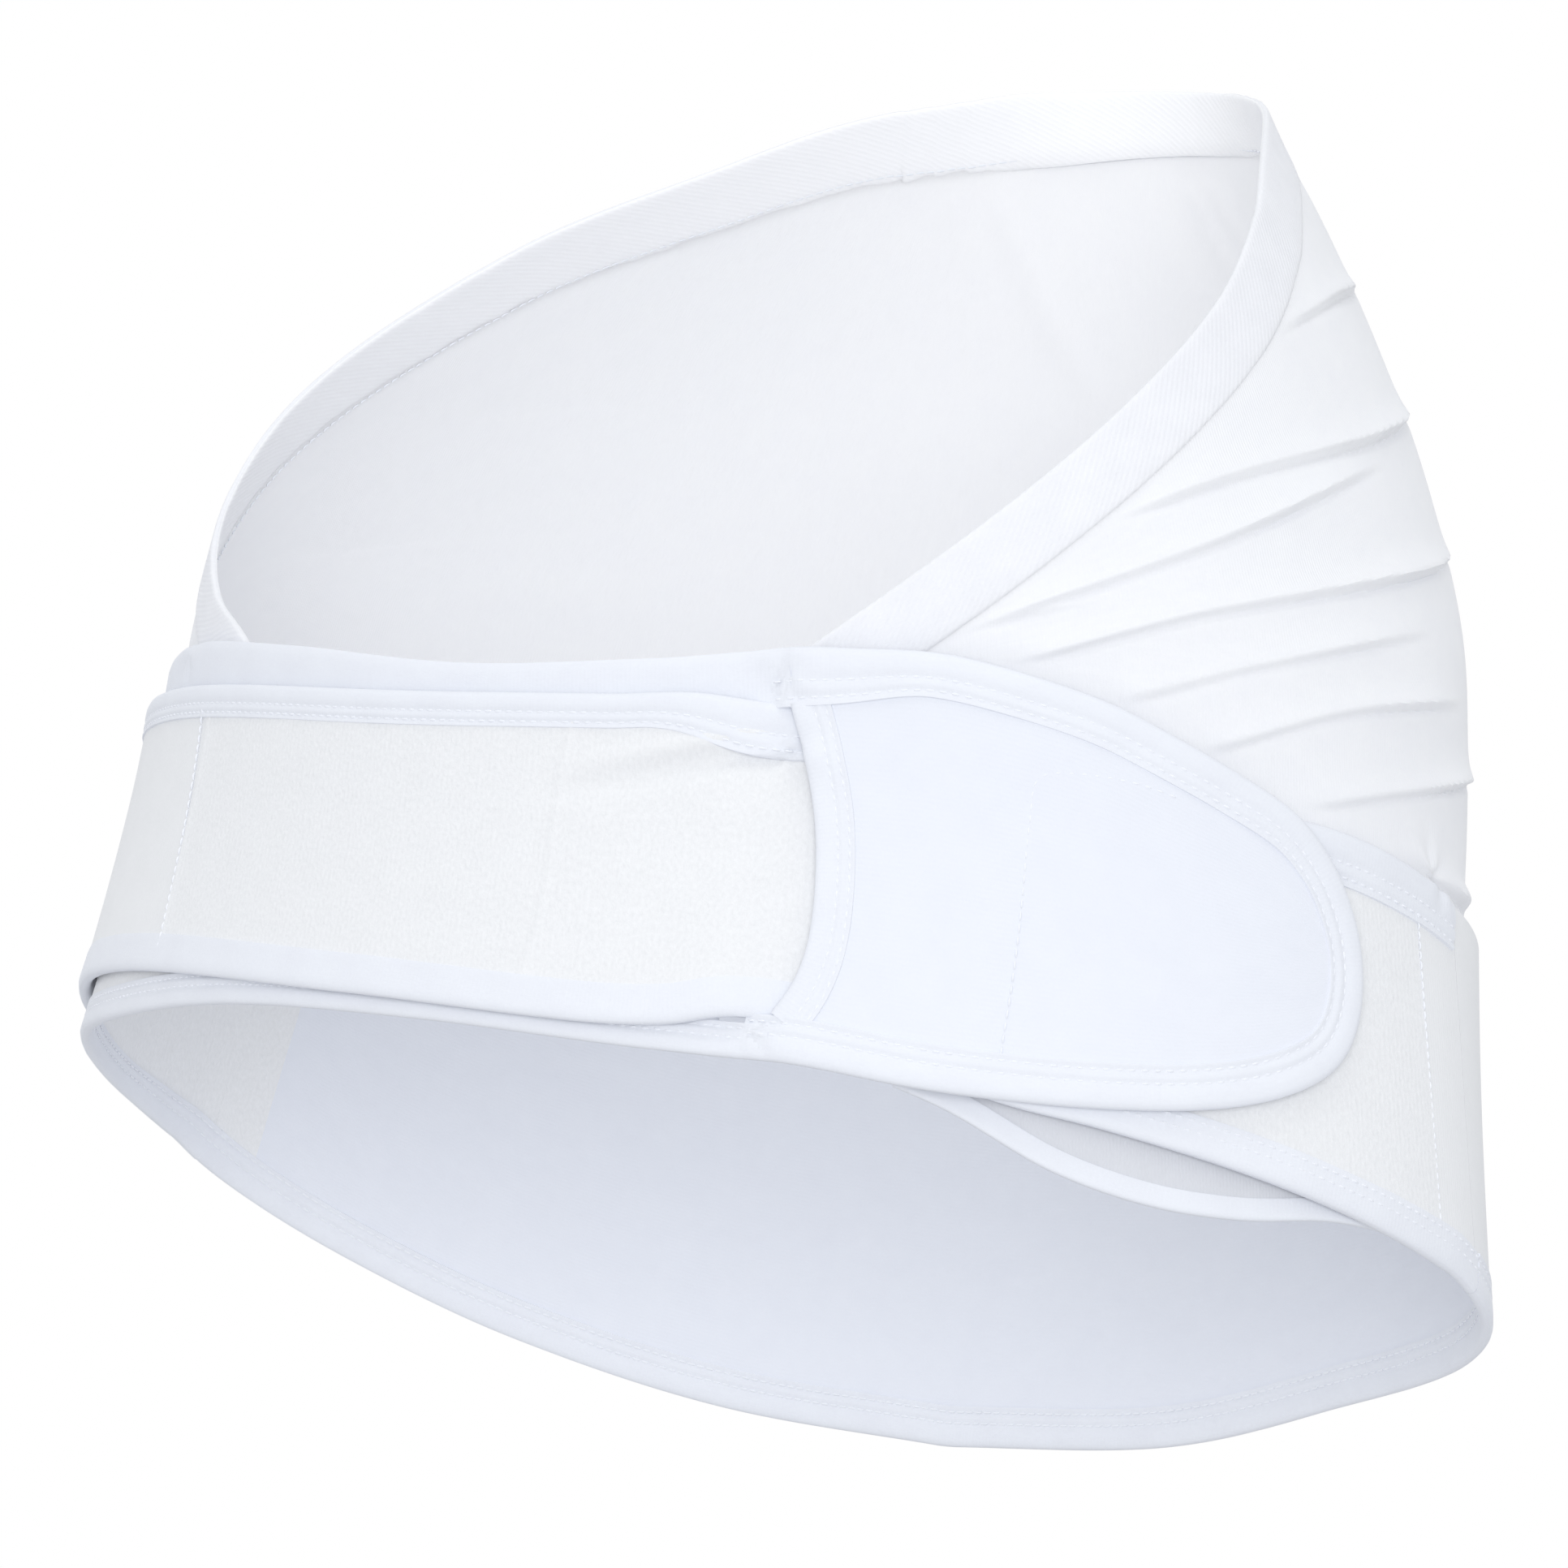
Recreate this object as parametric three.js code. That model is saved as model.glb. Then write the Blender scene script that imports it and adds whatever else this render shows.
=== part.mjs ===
import * as THREE from 'three';

// Maternity support belt, worn round the hips, closed by a strap that runs out through a slot.
// Angles go round the body in degrees: 0 is the front centre, 90 the wearer's left side.
// The origin is on the body's axis at the middle of the belt's height at the side.

// Driving sizes, millimetres
const hipWidth = 342;
const frontDepth = 129;
const backDepth = 110;
const backRise = 225;
const beltRise = 72;
const hemDrop = 85;
const waistbandHeight = 14;
const sideSeamAngle = 96;

// Walls and clearances
const stretchWall = 1.4;
const panelWall = 1.8;
const flapWall = 1.2;
const bindingWall = 2.8;
const flapBindingWall = 2;
const slotBindingWall = 2.2;
const seamGap = 0.3;
const bindingGap = 0.5;
const layerGap = 0.4;

// Widths of the bound edges
const wingTopBindingWidth = 9.5;
const wingHemBindingWidth = 7;
const tongueBindingWidth = 9;
const strapBindingWidth = 7;
const slotBindingWidth = 8;
const hemBindingWidth = 9;
const flapBindingWidth = 6.5;

// Slot, strap and tongue
const slotAngle = 27.7;
const slotWidth = 16;
const strapEndAngle = -74;
const endPieceAngle = -30;
const tuckDepth = 5;
const flapInnerReach = 34;
const gatherHeight = 4.2;
const gatherWidth = 9;

// Body sections: level as a share of backRise, half width of hipWidth, depths of the two depths
const sections = [
  { level: -0.378, width: 0.520, front: 0.97, back: 0.645 },
  { level: -0.111, width: 0.483, front: 0.94, back: 0.755 },
  { level: 0.156, width: 0.447, front: 0.895, back: 0.885 },
  { level: 0.422, width: 0.416, front: 0.91, back: 0.985 },
  { level: 0.689, width: 0.330, front: 0.93, back: 0.97 },
  { level: 0.956, width: 0.200, front: 0.96, back: 0.90 },
];

// Edges of the belt round the body: hem as a share of hemDrop, belt top of beltRise
const beltEdges = [
  { angle: -180, hem: -1.00, top: 0.14 },
  { angle: -160, hem: -0.97, top: 0.17 },
  { angle: -140, hem: -0.86, top: 0.25 },
  { angle: -120, hem: -0.70, top: 0.36 },
  { angle: -98, hem: -0.51, top: 0.53 },
  { angle: -80, hem: -0.34, top: 0.72 },
  { angle: -60, hem: -0.21, top: 0.87 },
  { angle: -40, hem: -0.15, top: 0.95 },
  { angle: -20, hem: -0.10, top: 0.93 },
  { angle: 0, hem: -0.10, top: 0.89 },
  { angle: 17, hem: -0.12, top: 0.93 },
  { angle: 30, hem: -0.13, top: 0.99 },
  { angle: 40, hem: -0.16, top: 1.00 },
  { angle: 54, hem: -0.20, top: 0.91 },
  { angle: 67, hem: -0.27, top: 0.74 },
  { angle: 80, hem: -0.36, top: 0.64 },
  { angle: 96, hem: -0.49, top: 0.51 },
  { angle: 115, hem: -0.62, top: 0.38 },
  { angle: 140, hem: -0.77, top: 0.25 },
  { angle: 160, hem: -0.93, top: 0.17 },
  { angle: 180, hem: -1.00, top: 0.14 },
];

// Top rim from the wearer's left junction round the back to the right one, share of backRise
const rimEdges = [
  { angle: 29, rise: 0.316 },
  { angle: 41, rise: 0.418 },
  { angle: 52, rise: 0.507 },
  { angle: 63, rise: 0.591 },
  { angle: 76, rise: 0.684 },
  { angle: 89, rise: 0.778 },
  { angle: 101, rise: 0.849 },
  { angle: 115, rise: 0.905 },
  { angle: 132, rise: 0.947 },
  { angle: 152, rise: 0.982 },
  { angle: 180, rise: 1.000 },
  { angle: 204, rise: 0.991 },
  { angle: 217, rise: 0.969 },
  { angle: 232, rise: 0.929 },
  { angle: 246, rise: 0.867 },
  { angle: 264, rise: 0.778 },
  { angle: 278, rise: 0.680 },
  { angle: 294, rise: 0.560 },
  { angle: 306, rise: 0.455 },
  { angle: 320, rise: 0.356 },
  { angle: 329, rise: 0.312 },
];

// Edges of the right wing and its strap: hem as a share of hemDrop, top of beltRise
const strapEdges = [
  { angle: -90, hem: -0.30, top: 0.62 },
  { angle: -60, hem: -0.10, top: 0.76 },
  { angle: -37, hem: -0.04, top: 0.81 },
  { angle: -5, hem: -0.06, top: 0.80 },
  { angle: 14, hem: -0.08, top: 0.82 },
  { angle: 21, hem: -0.07, top: 0.84 },
  { angle: 26, hem: -0.036, top: 0.83 },
  { angle: 31, hem: -0.036, top: 0.83 },
  { angle: 36, hem: -0.06, top: 0.84 },
  { angle: 40, hem: -0.11, top: 0.84 },
  { angle: 46, hem: -0.165, top: 0.82 },
  { angle: 54, hem: -0.20, top: 0.78 },
  { angle: 67, hem: -0.27, top: 0.69 },
  { angle: 80, hem: -0.36, top: 0.64 },
  { angle: 98, hem: -0.51, top: 0.51 },
];

// Outline of the tongue from the slot's top along its top edge and back: share of beltRise
const tongueOutline = [
  { angle: 31.5, rise: 0.99 },
  { angle: 40, rise: 1.00 },
  { angle: 47, rise: 0.965 },
  { angle: 54, rise: 0.91 },
  { angle: 60, rise: 0.835 },
  { angle: 66, rise: 0.755 },
  { angle: 72, rise: 0.66 },
  { angle: 76, rise: 0.52 },
  { angle: 78.3, rise: 0.32 },
  { angle: 77.6, rise: 0.12 },
  { angle: 75, rise: -0.01 },
  { angle: 70, rise: -0.10 },
  { angle: 63, rise: -0.16 },
  { angle: 54, rise: -0.19 },
  { angle: 46, rise: -0.195 },
  { angle: 39, rise: -0.185 },
  { angle: 31.5, rise: -0.155 },
];

// Lower edge of the inner flap, share of hemDrop
const flapEdges = [
  { angle: 36, hem: -0.13 },
  { angle: 42, hem: -0.19 },
  { angle: 50, hem: -0.30 },
  { angle: 58, hem: -0.355 },
  { angle: 66, hem: -0.365 },
  { angle: 76, hem: -0.345 },
  { angle: 86, hem: -0.37 },
  { angle: 96, hem: -0.44 },
];

// Gathers of the hip panel: rise as a share of backRise at three angles, height of gatherHeight
const gathers = [
  { from: 80, start: 0.655, via: 94, middle: 0.71, to: 118, end: 0.76, height: 0.7 },
  { from: 50, start: 0.43, via: 72, middle: 0.53, to: 104, end: 0.61, height: 1.0 },
  { from: 40, start: 0.335, via: 58, middle: 0.425, to: 92, end: 0.52, height: 0.8 },
  { from: 42, start: 0.305, via: 65, middle: 0.40, to: 108, end: 0.485, height: 1.0 },
  { from: 52, start: 0.285, via: 68, middle: 0.34, to: 92, end: 0.40, height: 0.6 },
  { from: 58, start: 0.25, via: 74, middle: 0.30, to: 98, end: 0.35, height: 0.6 },
  { from: 70, start: 0.22, via: 84, middle: 0.255, to: 112, end: 0.285, height: 1.0 },
  { from: 76, start: 0.195, via: 90, middle: 0.205, to: 108, end: 0.20, height: 0.7 },
];

// Levels of the layers above the body surface, measured to the middle of each wall
const innerLevel = stretchWall + layerGap + bindingWall / 2;
const outerLevel = innerLevel + bindingWall + layerGap;
const liningLevel = () => stretchWall / 2;
const flapLevel = () => (flapWall - flapBindingWall / 2) / 2;

const degrees = Math.PI / 180;
const insetStep = 2.5;

// Smooth curve through a table's rows, by its column of angles and one other column
function curve(table, key, column) {
  const last = table.length - 1;
  const slope = (i) => {
    const low = table[Math.max(i - 1, 0)];
    const high = table[Math.min(i + 1, last)];
    return (high[column] - low[column]) / (high[key] - low[key]);
  };
  return (x) => {
    let i = 0;
    while (i < last - 1 && x > table[i + 1][key]) i += 1;
    const span = table[i + 1][key] - table[i][key];
    const t = THREE.MathUtils.clamp((x - table[i][key]) / span, 0, 1);
    const t2 = t * t;
    const t3 = t2 * t;
    return (2 * t3 - 3 * t2 + 1) * table[i][column] + (t3 - 2 * t2 + t) * span * slope(i)
      + (3 * t2 - 2 * t3) * table[i + 1][column] + (t3 - t2) * span * slope(i + 1);
  };
}

const sectionWidth = curve(sections, 'level', 'width');
const sectionFront = curve(sections, 'level', 'front');
const sectionBack = curve(sections, 'level', 'back');
const hemShare = curve(beltEdges, 'angle', 'hem');
const topShare = curve(beltEdges, 'angle', 'top');
const rimShare = curve(rimEdges, 'angle', 'rise');
const strapHemShare = curve(strapEdges, 'angle', 'hem');
const strapTopShare = curve(strapEdges, 'angle', 'top');
const flapShare = curve(flapEdges, 'angle', 'hem');

const beltHem = (angle) => hemDrop * hemShare(wrapped(angle));
const beltTop = (angle) => beltRise * topShare(wrapped(angle));
const rimTop = (angle) => backRise * rimShare(angle);
const strapHem = (angle) => hemDrop * strapHemShare(angle);
const strapTop = (angle) => beltRise * strapTopShare(angle);
const flapHem = (angle) => hemDrop * flapShare(angle);

function wrapped(angle) {
  return angle > 180 ? angle - 360 : angle;
}

// Point of the body surface at an angle and a height
function bodyPoint(angle, z) {
  const level = THREE.MathUtils.clamp(z / backRise, sections[0].level, sections[sections.length - 1].level);
  const sine = Math.sin(angle * degrees);
  const cosine = Math.cos(angle * degrees);
  const depth = cosine > 0 ? frontDepth * sectionFront(level) : backDepth * sectionBack(level);
  return new THREE.Vector3(hipWidth * sectionWidth(level) * sine, -depth * cosine, z);
}

// Directions along the surface, round the body and upwards, and straight out of it
function surfaceFrame(angle, z) {
  const step = 0.5;
  const round = bodyPoint(angle + step, z).sub(bodyPoint(angle - step, z)).divideScalar(2 * step);
  const rise = bodyPoint(angle, z + step).sub(bodyPoint(angle, z - step)).divideScalar(2 * step);
  const out = round.clone().cross(rise).normalize();
  return { round, rise, out };
}

function surfacePoint(angle, z, level) {
  return bodyPoint(angle, z).addScaledVector(surfaceFrame(angle, z).out, level);
}

// The wing climbs over the strap at the slot, and the strap climbs out through it
const slotHalfAngle = slotWidth / 2 / surfaceFrame(slotAngle, 0).round.length();
const slotFront = slotAngle - slotHalfAngle;
const slotRear = slotAngle + slotHalfAngle;
const slotShare = (angle) => THREE.MathUtils.smoothstep(angle, slotFront, slotRear);
const wingLevel = (angle) => THREE.MathUtils.lerp(innerLevel, outerLevel, slotShare(angle));
const strapLevel = (angle) => THREE.MathUtils.lerp(outerLevel, innerLevel, slotShare(angle));

function path(height, from, to, step) {
  const count = Math.max(2, Math.round((to - from) / step));
  return Array.from({ length: count + 1 }, (_, i) => {
    const angle = from + (to - from) * i / count;
    return { angle, z: height(angle) };
  });
}

// Moves a path sideways within the surface, towards its left as seen from outside, in short steps
function inset(line, distance) {
  const steps = Math.ceil(Math.abs(distance) / insetStep);
  let moved = line;
  for (let i = 0; i < steps; i += 1) moved = nudged(moved, distance / steps);
  return moved;
}

function nudged(line, distance) {
  return line.map((point, i) => {
    const before = line[Math.max(i - 1, 0)];
    const after = line[Math.min(i + 1, line.length - 1)];
    const { round, rise, out } = surfaceFrame(point.angle, point.z);
    const along = bodyPoint(after.angle, after.z).sub(bodyPoint(before.angle, before.z)).normalize();
    const side = out.clone().cross(along).normalize();
    return {
      angle: point.angle + distance * side.dot(round) / round.lengthSq(),
      z: point.z + distance * side.dot(rise) / rise.lengthSq(),
    };
  });
}

function closedMesh(name, material, positions, triangles) {
  const geometry = new THREE.BufferGeometry();
  const numbers = positions.flatMap((point) => point.toArray());
  geometry.setAttribute('position', new THREE.Float32BufferAttribute(numbers, 3));
  geometry.setIndex(triangles);
  geometry.computeVertexNormals();
  const mesh = new THREE.Mesh(geometry, material);
  mesh.name = name;
  return mesh;
}

// Cloth wall between a lower and an upper path with equal numbers of points
function panel(name, material, lower, upper, rows, wall, level) {
  const columns = lower.length;
  const ranks = rows + 1;
  const positions = [];
  for (const side of [0.5, -0.5]) {
    for (let i = 0; i < columns; i += 1) {
      for (let j = 0; j < ranks; j += 1) {
        const share = j / rows;
        const angle = THREE.MathUtils.lerp(lower[i].angle, upper[i].angle, share);
        const z = THREE.MathUtils.lerp(lower[i].z, upper[i].z, share);
        positions.push(surfacePoint(angle, z, level(angle, z) + side * wall));
      }
    }
  }
  const outer = (i, j) => i * ranks + j;
  const inner = (i, j) => columns * ranks + i * ranks + j;
  const triangles = [];
  const quad = (a, b, c, d) => triangles.push(a, b, c, a, c, d);
  for (let i = 0; i < columns - 1; i += 1) {
    for (let j = 0; j < rows; j += 1) {
      quad(outer(i, j), outer(i + 1, j), outer(i + 1, j + 1), outer(i, j + 1));
      quad(inner(i, j), inner(i, j + 1), inner(i + 1, j + 1), inner(i + 1, j));
    }
    quad(inner(i, 0), inner(i + 1, 0), outer(i + 1, 0), outer(i, 0));
    quad(outer(i, rows), outer(i + 1, rows), inner(i + 1, rows), inner(i, rows));
  }
  for (let j = 0; j < rows; j += 1) {
    quad(outer(0, j), outer(0, j + 1), inner(0, j + 1), inner(0, j));
    quad(inner(columns - 1, j), inner(columns - 1, j + 1), outer(columns - 1, j + 1), outer(columns - 1, j));
  }
  return closedMesh(name, material, positions, triangles);
}

// Sections of edge strips, as shares of their width and wall
const roundedSection = [[0.5, 0], [0.34, 0.5], [-0.34, 0.5], [-0.5, 0], [-0.34, -0.5], [0.34, -0.5]];
const squareSection = [[0.5, 0.5], [-0.5, 0.5], [-0.5, -0.5], [0.5, -0.5]];

function stripSection(shape, centre, side, out, width, wall) {
  return shape.map(([across, up]) => {
    return centre.clone().addScaledVector(side, across * width).addScaledVector(out, up * wall);
  });
}

// Closed strip through a row of sections
function loft(name, material, rings) {
  const count = rings[0].length;
  const triangles = [];
  for (let i = 0; i < rings.length - 1; i += 1) {
    for (let k = 0; k < count; k += 1) {
      const next = (k + 1) % count;
      const a = i * count;
      const b = a + count;
      triangles.push(a + k, a + next, b + next, a + k, b + next, b + k);
    }
  }
  const end = (rings.length - 1) * count;
  for (let k = 1; k < count - 1; k += 1) {
    triangles.push(0, k + 1, k, end, end + k, end + k + 1);
  }
  return closedMesh(name, material, rings.flat(), triangles);
}

// Rounded edge strip along a path, its ends cut straight up
function strip(name, material, line, width, level, wall = bindingWall) {
  const rings = line.map((point, i) => {
    const before = line[Math.max(i - 1, 0)];
    const after = line[Math.min(i + 1, line.length - 1)];
    const { rise, out } = surfaceFrame(point.angle, point.z);
    const ahead = bodyPoint(after.angle, after.z).sub(bodyPoint(before.angle, before.z)).normalize();
    const side = out.clone().cross(ahead).normalize();
    if (before === point || after === point) side.copy(rise).divideScalar(rise.dot(side));
    const centre = surfacePoint(point.angle, point.z, level(point.angle));
    return stripSection(roundedSection, centre, side, out, width, wall);
  });
  return loft(name, material, rings);
}

// Height of an edge, moved sideways within the surface, as a function of the angle
function insetHeight(height, from, to, distance) {
  const line = inset(path(height, from, to, 2), distance);
  return (angle) => heightOn(line, angle);
}

function heightOn(line, angle) {
  let i = 0;
  while (i < line.length - 2 && angle > line[i + 1].angle) i += 1;
  const share = (angle - line[i].angle) / (line[i + 1].angle - line[i].angle);
  return THREE.MathUtils.lerp(line[i].z, line[i + 1].z, share);
}

// Angle that a length along the belt takes up
function arc(angle, length) {
  return length / surfaceFrame(angle, 0).round.length();
}

// Part of a tongue path past an angle, starting on it
function clipped(line, angle) {
  const kept = line.filter((point) => point.angle > angle + 0.5);
  return [{ angle, z: heightOn(line, angle) }, ...kept];
}

// Smooth path through a few points, with points at even steps
function spaced(line, steps) {
  const points = line.map((point) => new THREE.Vector3(point.angle, point.z, 0));
  const smooth = new THREE.CatmullRomCurve3(points, false, 'centripetal');
  return smooth.getSpacedPoints(steps).map((point) => ({ angle: point.x, z: point.y }));
}

function pinned(line, angle) {
  return line.map((point, i) => (i === 0 || i === line.length - 1 ? { angle, z: point.z } : point));
}

function spread(...ranges) {
  const level = () => 0;
  const points = ranges.flatMap(([from, to, step]) => path(level, from, to, step));
  const angles = points.map((point) => point.angle);
  return angles.filter((angle, i) => i === 0 || angle - angles[i - 1] > 0.01);
}

function along(height, angles) {
  return angles.map((angle) => ({ angle, z: height(angle) }));
}

// Panel with upright columns at the given angles, between the heights of a foot and a head
function wall(name, material, angles, foot, head, rows, thickness, level) {
  return panel(name, material, along(foot, angles), along(head, angles), rows, thickness, level);
}

const loopFabric = new THREE.MeshStandardMaterial({ color: 0xedeff3, roughness: 0.95, metalness: 0 });
const smoothFabric = new THREE.MeshStandardMaterial({ color: 0xf0f3fb, roughness: 0.75, metalness: 0 });
const stretchFabric = new THREE.MeshStandardMaterial({ color: 0xf2f3f6, roughness: 0.8, metalness: 0 });
const elasticTape = new THREE.MeshStandardMaterial({ color: 0xf3f4f8, roughness: 0.7, metalness: 0 });
const bindingTape = new THREE.MeshStandardMaterial({ color: 0xeef1f8, roughness: 0.7, metalness: 0 });

const belt = new THREE.Group();
belt.name = 'maternity_support_belt';

const turn = 360;
const seamStep = arc(sideSeamAngle, seamGap / 2);

// Waistband round the top rim, its ends tucked behind the belt's top binding
const hipRanges = [[37, 120, 5], [120, 240, 10], [240, turn - 41, 5]];
const hipAngles = spread(...hipRanges);
const bandAngles = spread([30, 37, 3.5], ...hipRanges, [turn - 41, turn - 32, 4.5]);
const bandFoot = insetHeight(rimTop, 22, turn - 24, -waistbandHeight);
belt.add(wall('waistband', elasticTape, bandAngles, bandFoot, rimTop, 1, stretchWall, liningLevel));

// Hip panel between the waistband and the belt, gathered at both sides
const hipTop = insetHeight(rimTop, 22, turn - 24, -waistbandHeight - seamGap);
const hipFoot = (angle) => beltTop(angle) - tuckDepth;
const bumpLines = gathers.map((gather) => [
  { angle: gather.from, rise: gather.start },
  { angle: gather.via, rise: gather.middle },
  { angle: gather.to, rise: gather.end },
]);
const bumpCurves = bumpLines.map((line) => curve(line, 'angle', 'rise'));

function gatherLift(angle, z) {
  const side = angle > 180 ? turn - angle : angle;
  const clear = THREE.MathUtils.smoothstep(z - beltTop(angle), 1, gatherWidth);
  const below = THREE.MathUtils.smoothstep(hipTop(angle) - z, 0, gatherWidth);
  return gathers.reduce((lift, gather, i) => {
    const reach = gather.to - gather.from;
    const run = (side - gather.from) / reach;
    const rise = THREE.MathUtils.smoothstep(run, -0.15, 0.3);
    const fade = rise * (1 - THREE.MathUtils.smoothstep(run, 0.9, 1.35));
    const away = (z - backRise * bumpCurves[i](side)) / gatherWidth;
    return lift + gatherHeight * gather.height * fade * clear * below * Math.exp(-away * away * 4);
  }, 0);
}

const hipLevel = (angle, z) => liningLevel() + gatherLift(angle, z);
belt.add(wall('hip_panel', stretchFabric, hipAngles, hipFoot, hipTop, 24, stretchWall, hipLevel));

// Lower back panel between the side seams
const backStart = sideSeamAngle + seamStep;
const backEnd = turn - sideSeamAngle - seamStep;
const backAngles = spread([backStart, backEnd, 6]);
const backFoot = insetHeight(beltHem, backStart - 6, backEnd + 6, hemBindingWidth + bindingGap);
const firmLevel = () => innerLevel;
belt.add(wall('back_panel', smoothFabric, backAngles, backFoot, beltTop, 4, panelWall, firmLevel));
const backHemHeight = insetHeight(beltHem, backStart - 6, backEnd + 6, hemBindingWidth / 2);
const backHemLine = along(backHemHeight, backAngles);
belt.add(strip('back_hem_binding', bindingTape, backHemLine, hemBindingWidth, firmLevel));

// Left wing from its side seam to the front edge of the slot
const wingStart = -sideSeamAngle + seamStep;
const wingEnd = slotFront - arc(slotAngle, slotBindingWidth + seamGap);
const wingAngles = spread([wingStart, wingEnd, 6]);
const wingFoot = insetHeight(beltHem, -110, 45, wingHemBindingWidth + bindingGap);
const wingHead = insetHeight(beltTop, -110, 45, -wingTopBindingWidth - bindingGap);
belt.add(wall('left_wing', loopFabric, wingAngles, wingFoot, wingHead, 3, panelWall, firmLevel));
const frameAngles = [...wingAngles, ...spread([slotFront - 2, slotRear, 2])];
const wingTopLine = along(insetHeight(beltTop, -110, 45, -wingTopBindingWidth / 2), frameAngles);
const wingHemLine = along(insetHeight(beltHem, -110, 45, wingHemBindingWidth / 2), frameAngles);
belt.add(strip('wing_top_binding', bindingTape, wingTopLine, wingTopBindingWidth, wingLevel));
belt.add(strip('wing_hem_binding', bindingTape, wingHemLine, wingHemBindingWidth, wingLevel));

// Bound edges of the slot, one on the wing and one on the tongue, each bent in one plane
function slotEdge(name, angle, foot, head, level) {
  const start = surfacePoint(angle, foot, level);
  const rise = surfacePoint(angle, head, level).sub(start);
  const side = surfaceFrame(angle, (foot + head) / 2).out.cross(rise).normalize();
  const rings = Array.from({ length: 7 }, (_, i) => {
    const z = THREE.MathUtils.lerp(foot, head, i / 6);
    const centre = surfacePoint(angle, z, level);
    centre.addScaledVector(side, -centre.clone().sub(start).dot(side));
    const { out } = surfaceFrame(angle, z);
    out.addScaledVector(side, -out.dot(side)).normalize();
    return stripSection(squareSection, centre, side, out, slotBindingWidth, slotBindingWall);
  });
  belt.add(loft(name, bindingTape, rings));
}

const slotFrontMiddle = slotFront - arc(slotAngle, slotBindingWidth / 2);
const slotRearMiddle = slotRear + arc(slotAngle, seamGap + slotBindingWidth / 2);
const frontFoot = wingFoot(slotFrontMiddle);
const frontHead = wingHead(slotFrontMiddle);
slotEdge('slot_front_binding', slotFrontMiddle, frontFoot, frontHead, innerLevel);

// Tongue past the slot, with a binding round its edge
const coverLevel = () => outerLevel;
const tongueStart = slotRear + arc(slotAngle, seamGap);
const outlinePoints = tongueOutline.map(({ angle, rise }) => ({ angle, z: rise * beltRise }));
const outline = spaced(pinned(outlinePoints, tongueStart), 46);
const tongueLine = pinned(inset(outline, -tongueBindingWidth / 2), tongueStart);
belt.add(strip('tongue_binding', bindingTape, tongueLine, tongueBindingWidth, coverLevel));
const tongueEdge = inset(outline, -tongueBindingWidth - bindingGap);
const tongueTip = (tongueEdge.length - 1) / 2;
const tonguePanelStart = slotRear + arc(slotAngle, slotBindingWidth + 2 * seamGap);
const tongueHead = spaced(clipped(tongueEdge.slice(0, tongueTip), tonguePanelStart), 20);
const tongueFoot = spaced(clipped(tongueEdge.slice(tongueTip + 1).reverse(), tonguePanelStart), 20);
belt.add(panel('tongue', smoothFabric, tongueFoot, tongueHead, 3, panelWall, coverLevel));
slotEdge('slot_rear_binding', slotRearMiddle, tongueFoot[0].z, tongueHead[0].z, outerLevel);

// Right wing from its side seam under the tongue and out through the slot as the strap
const wingSeam = sideSeamAngle - seamStep;
const slotZone = [slotFront - 3, slotRear + 3, 1.6];
const strapRanges = [[endPieceAngle, slotZone[0], 6], slotZone, [slotZone[1], wingSeam, 6]];
const strapAngles = spread(...strapRanges);
const strapFoot = insetHeight(strapHem, -88, 98, strapBindingWidth + bindingGap);
const strapHead = insetHeight(strapTop, -88, 98, -strapBindingWidth - bindingGap);
belt.add(wall('right_wing', loopFabric, strapAngles, strapFoot, strapHead, 2, panelWall, strapLevel));
const endAngles = spread([strapEndAngle, endPieceAngle - arc(endPieceAngle, seamGap), 6]);
belt.add(wall('strap_end_piece', smoothFabric, endAngles, strapFoot, strapHead, 2, panelWall, coverLevel));
const strapLineAngles = spread([strapEndAngle, endPieceAngle, 6], ...strapRanges);
const strapTopLine = along(insetHeight(strapTop, -88, 98, -strapBindingWidth / 2), strapLineAngles);
const strapHemLine = along(insetHeight(strapHem, -88, 98, strapBindingWidth / 2), strapLineAngles);
belt.add(strip('strap_top_binding', bindingTape, strapTopLine, strapBindingWidth, strapLevel));
belt.add(strip('strap_hem_binding', bindingTape, strapHemLine, strapBindingWidth, strapLevel));

// Inner flap behind the right wing
const flapAngles = spread([38, wingSeam, 4]);
const flapFoot = insetHeight(flapHem, 36, 97, flapBindingWidth + bindingGap);
const flapHead = (angle) => flapHem(angle) + flapInnerReach;
belt.add(wall('inner_flap', stretchFabric, flapAngles, flapFoot, flapHead, 2, flapWall, flapLevel));
const flapLine = along(insetHeight(flapHem, 36, 97, flapBindingWidth / 2), flapAngles);
belt.add(strip('flap_binding', bindingTape, flapLine, flapBindingWidth, flapLevel, flapBindingWall));

export default belt;
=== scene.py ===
"""Looks of a worn maternity support belt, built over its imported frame.

Angles go round the body in degrees: 0 is the front centre and 90 the wearer's left side.
Lengths are in millimetres until a mesh is made, and then in metres.
"""

import math

import bmesh
import bpy
import numpy as np
from mathutils import Matrix, Vector


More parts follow.
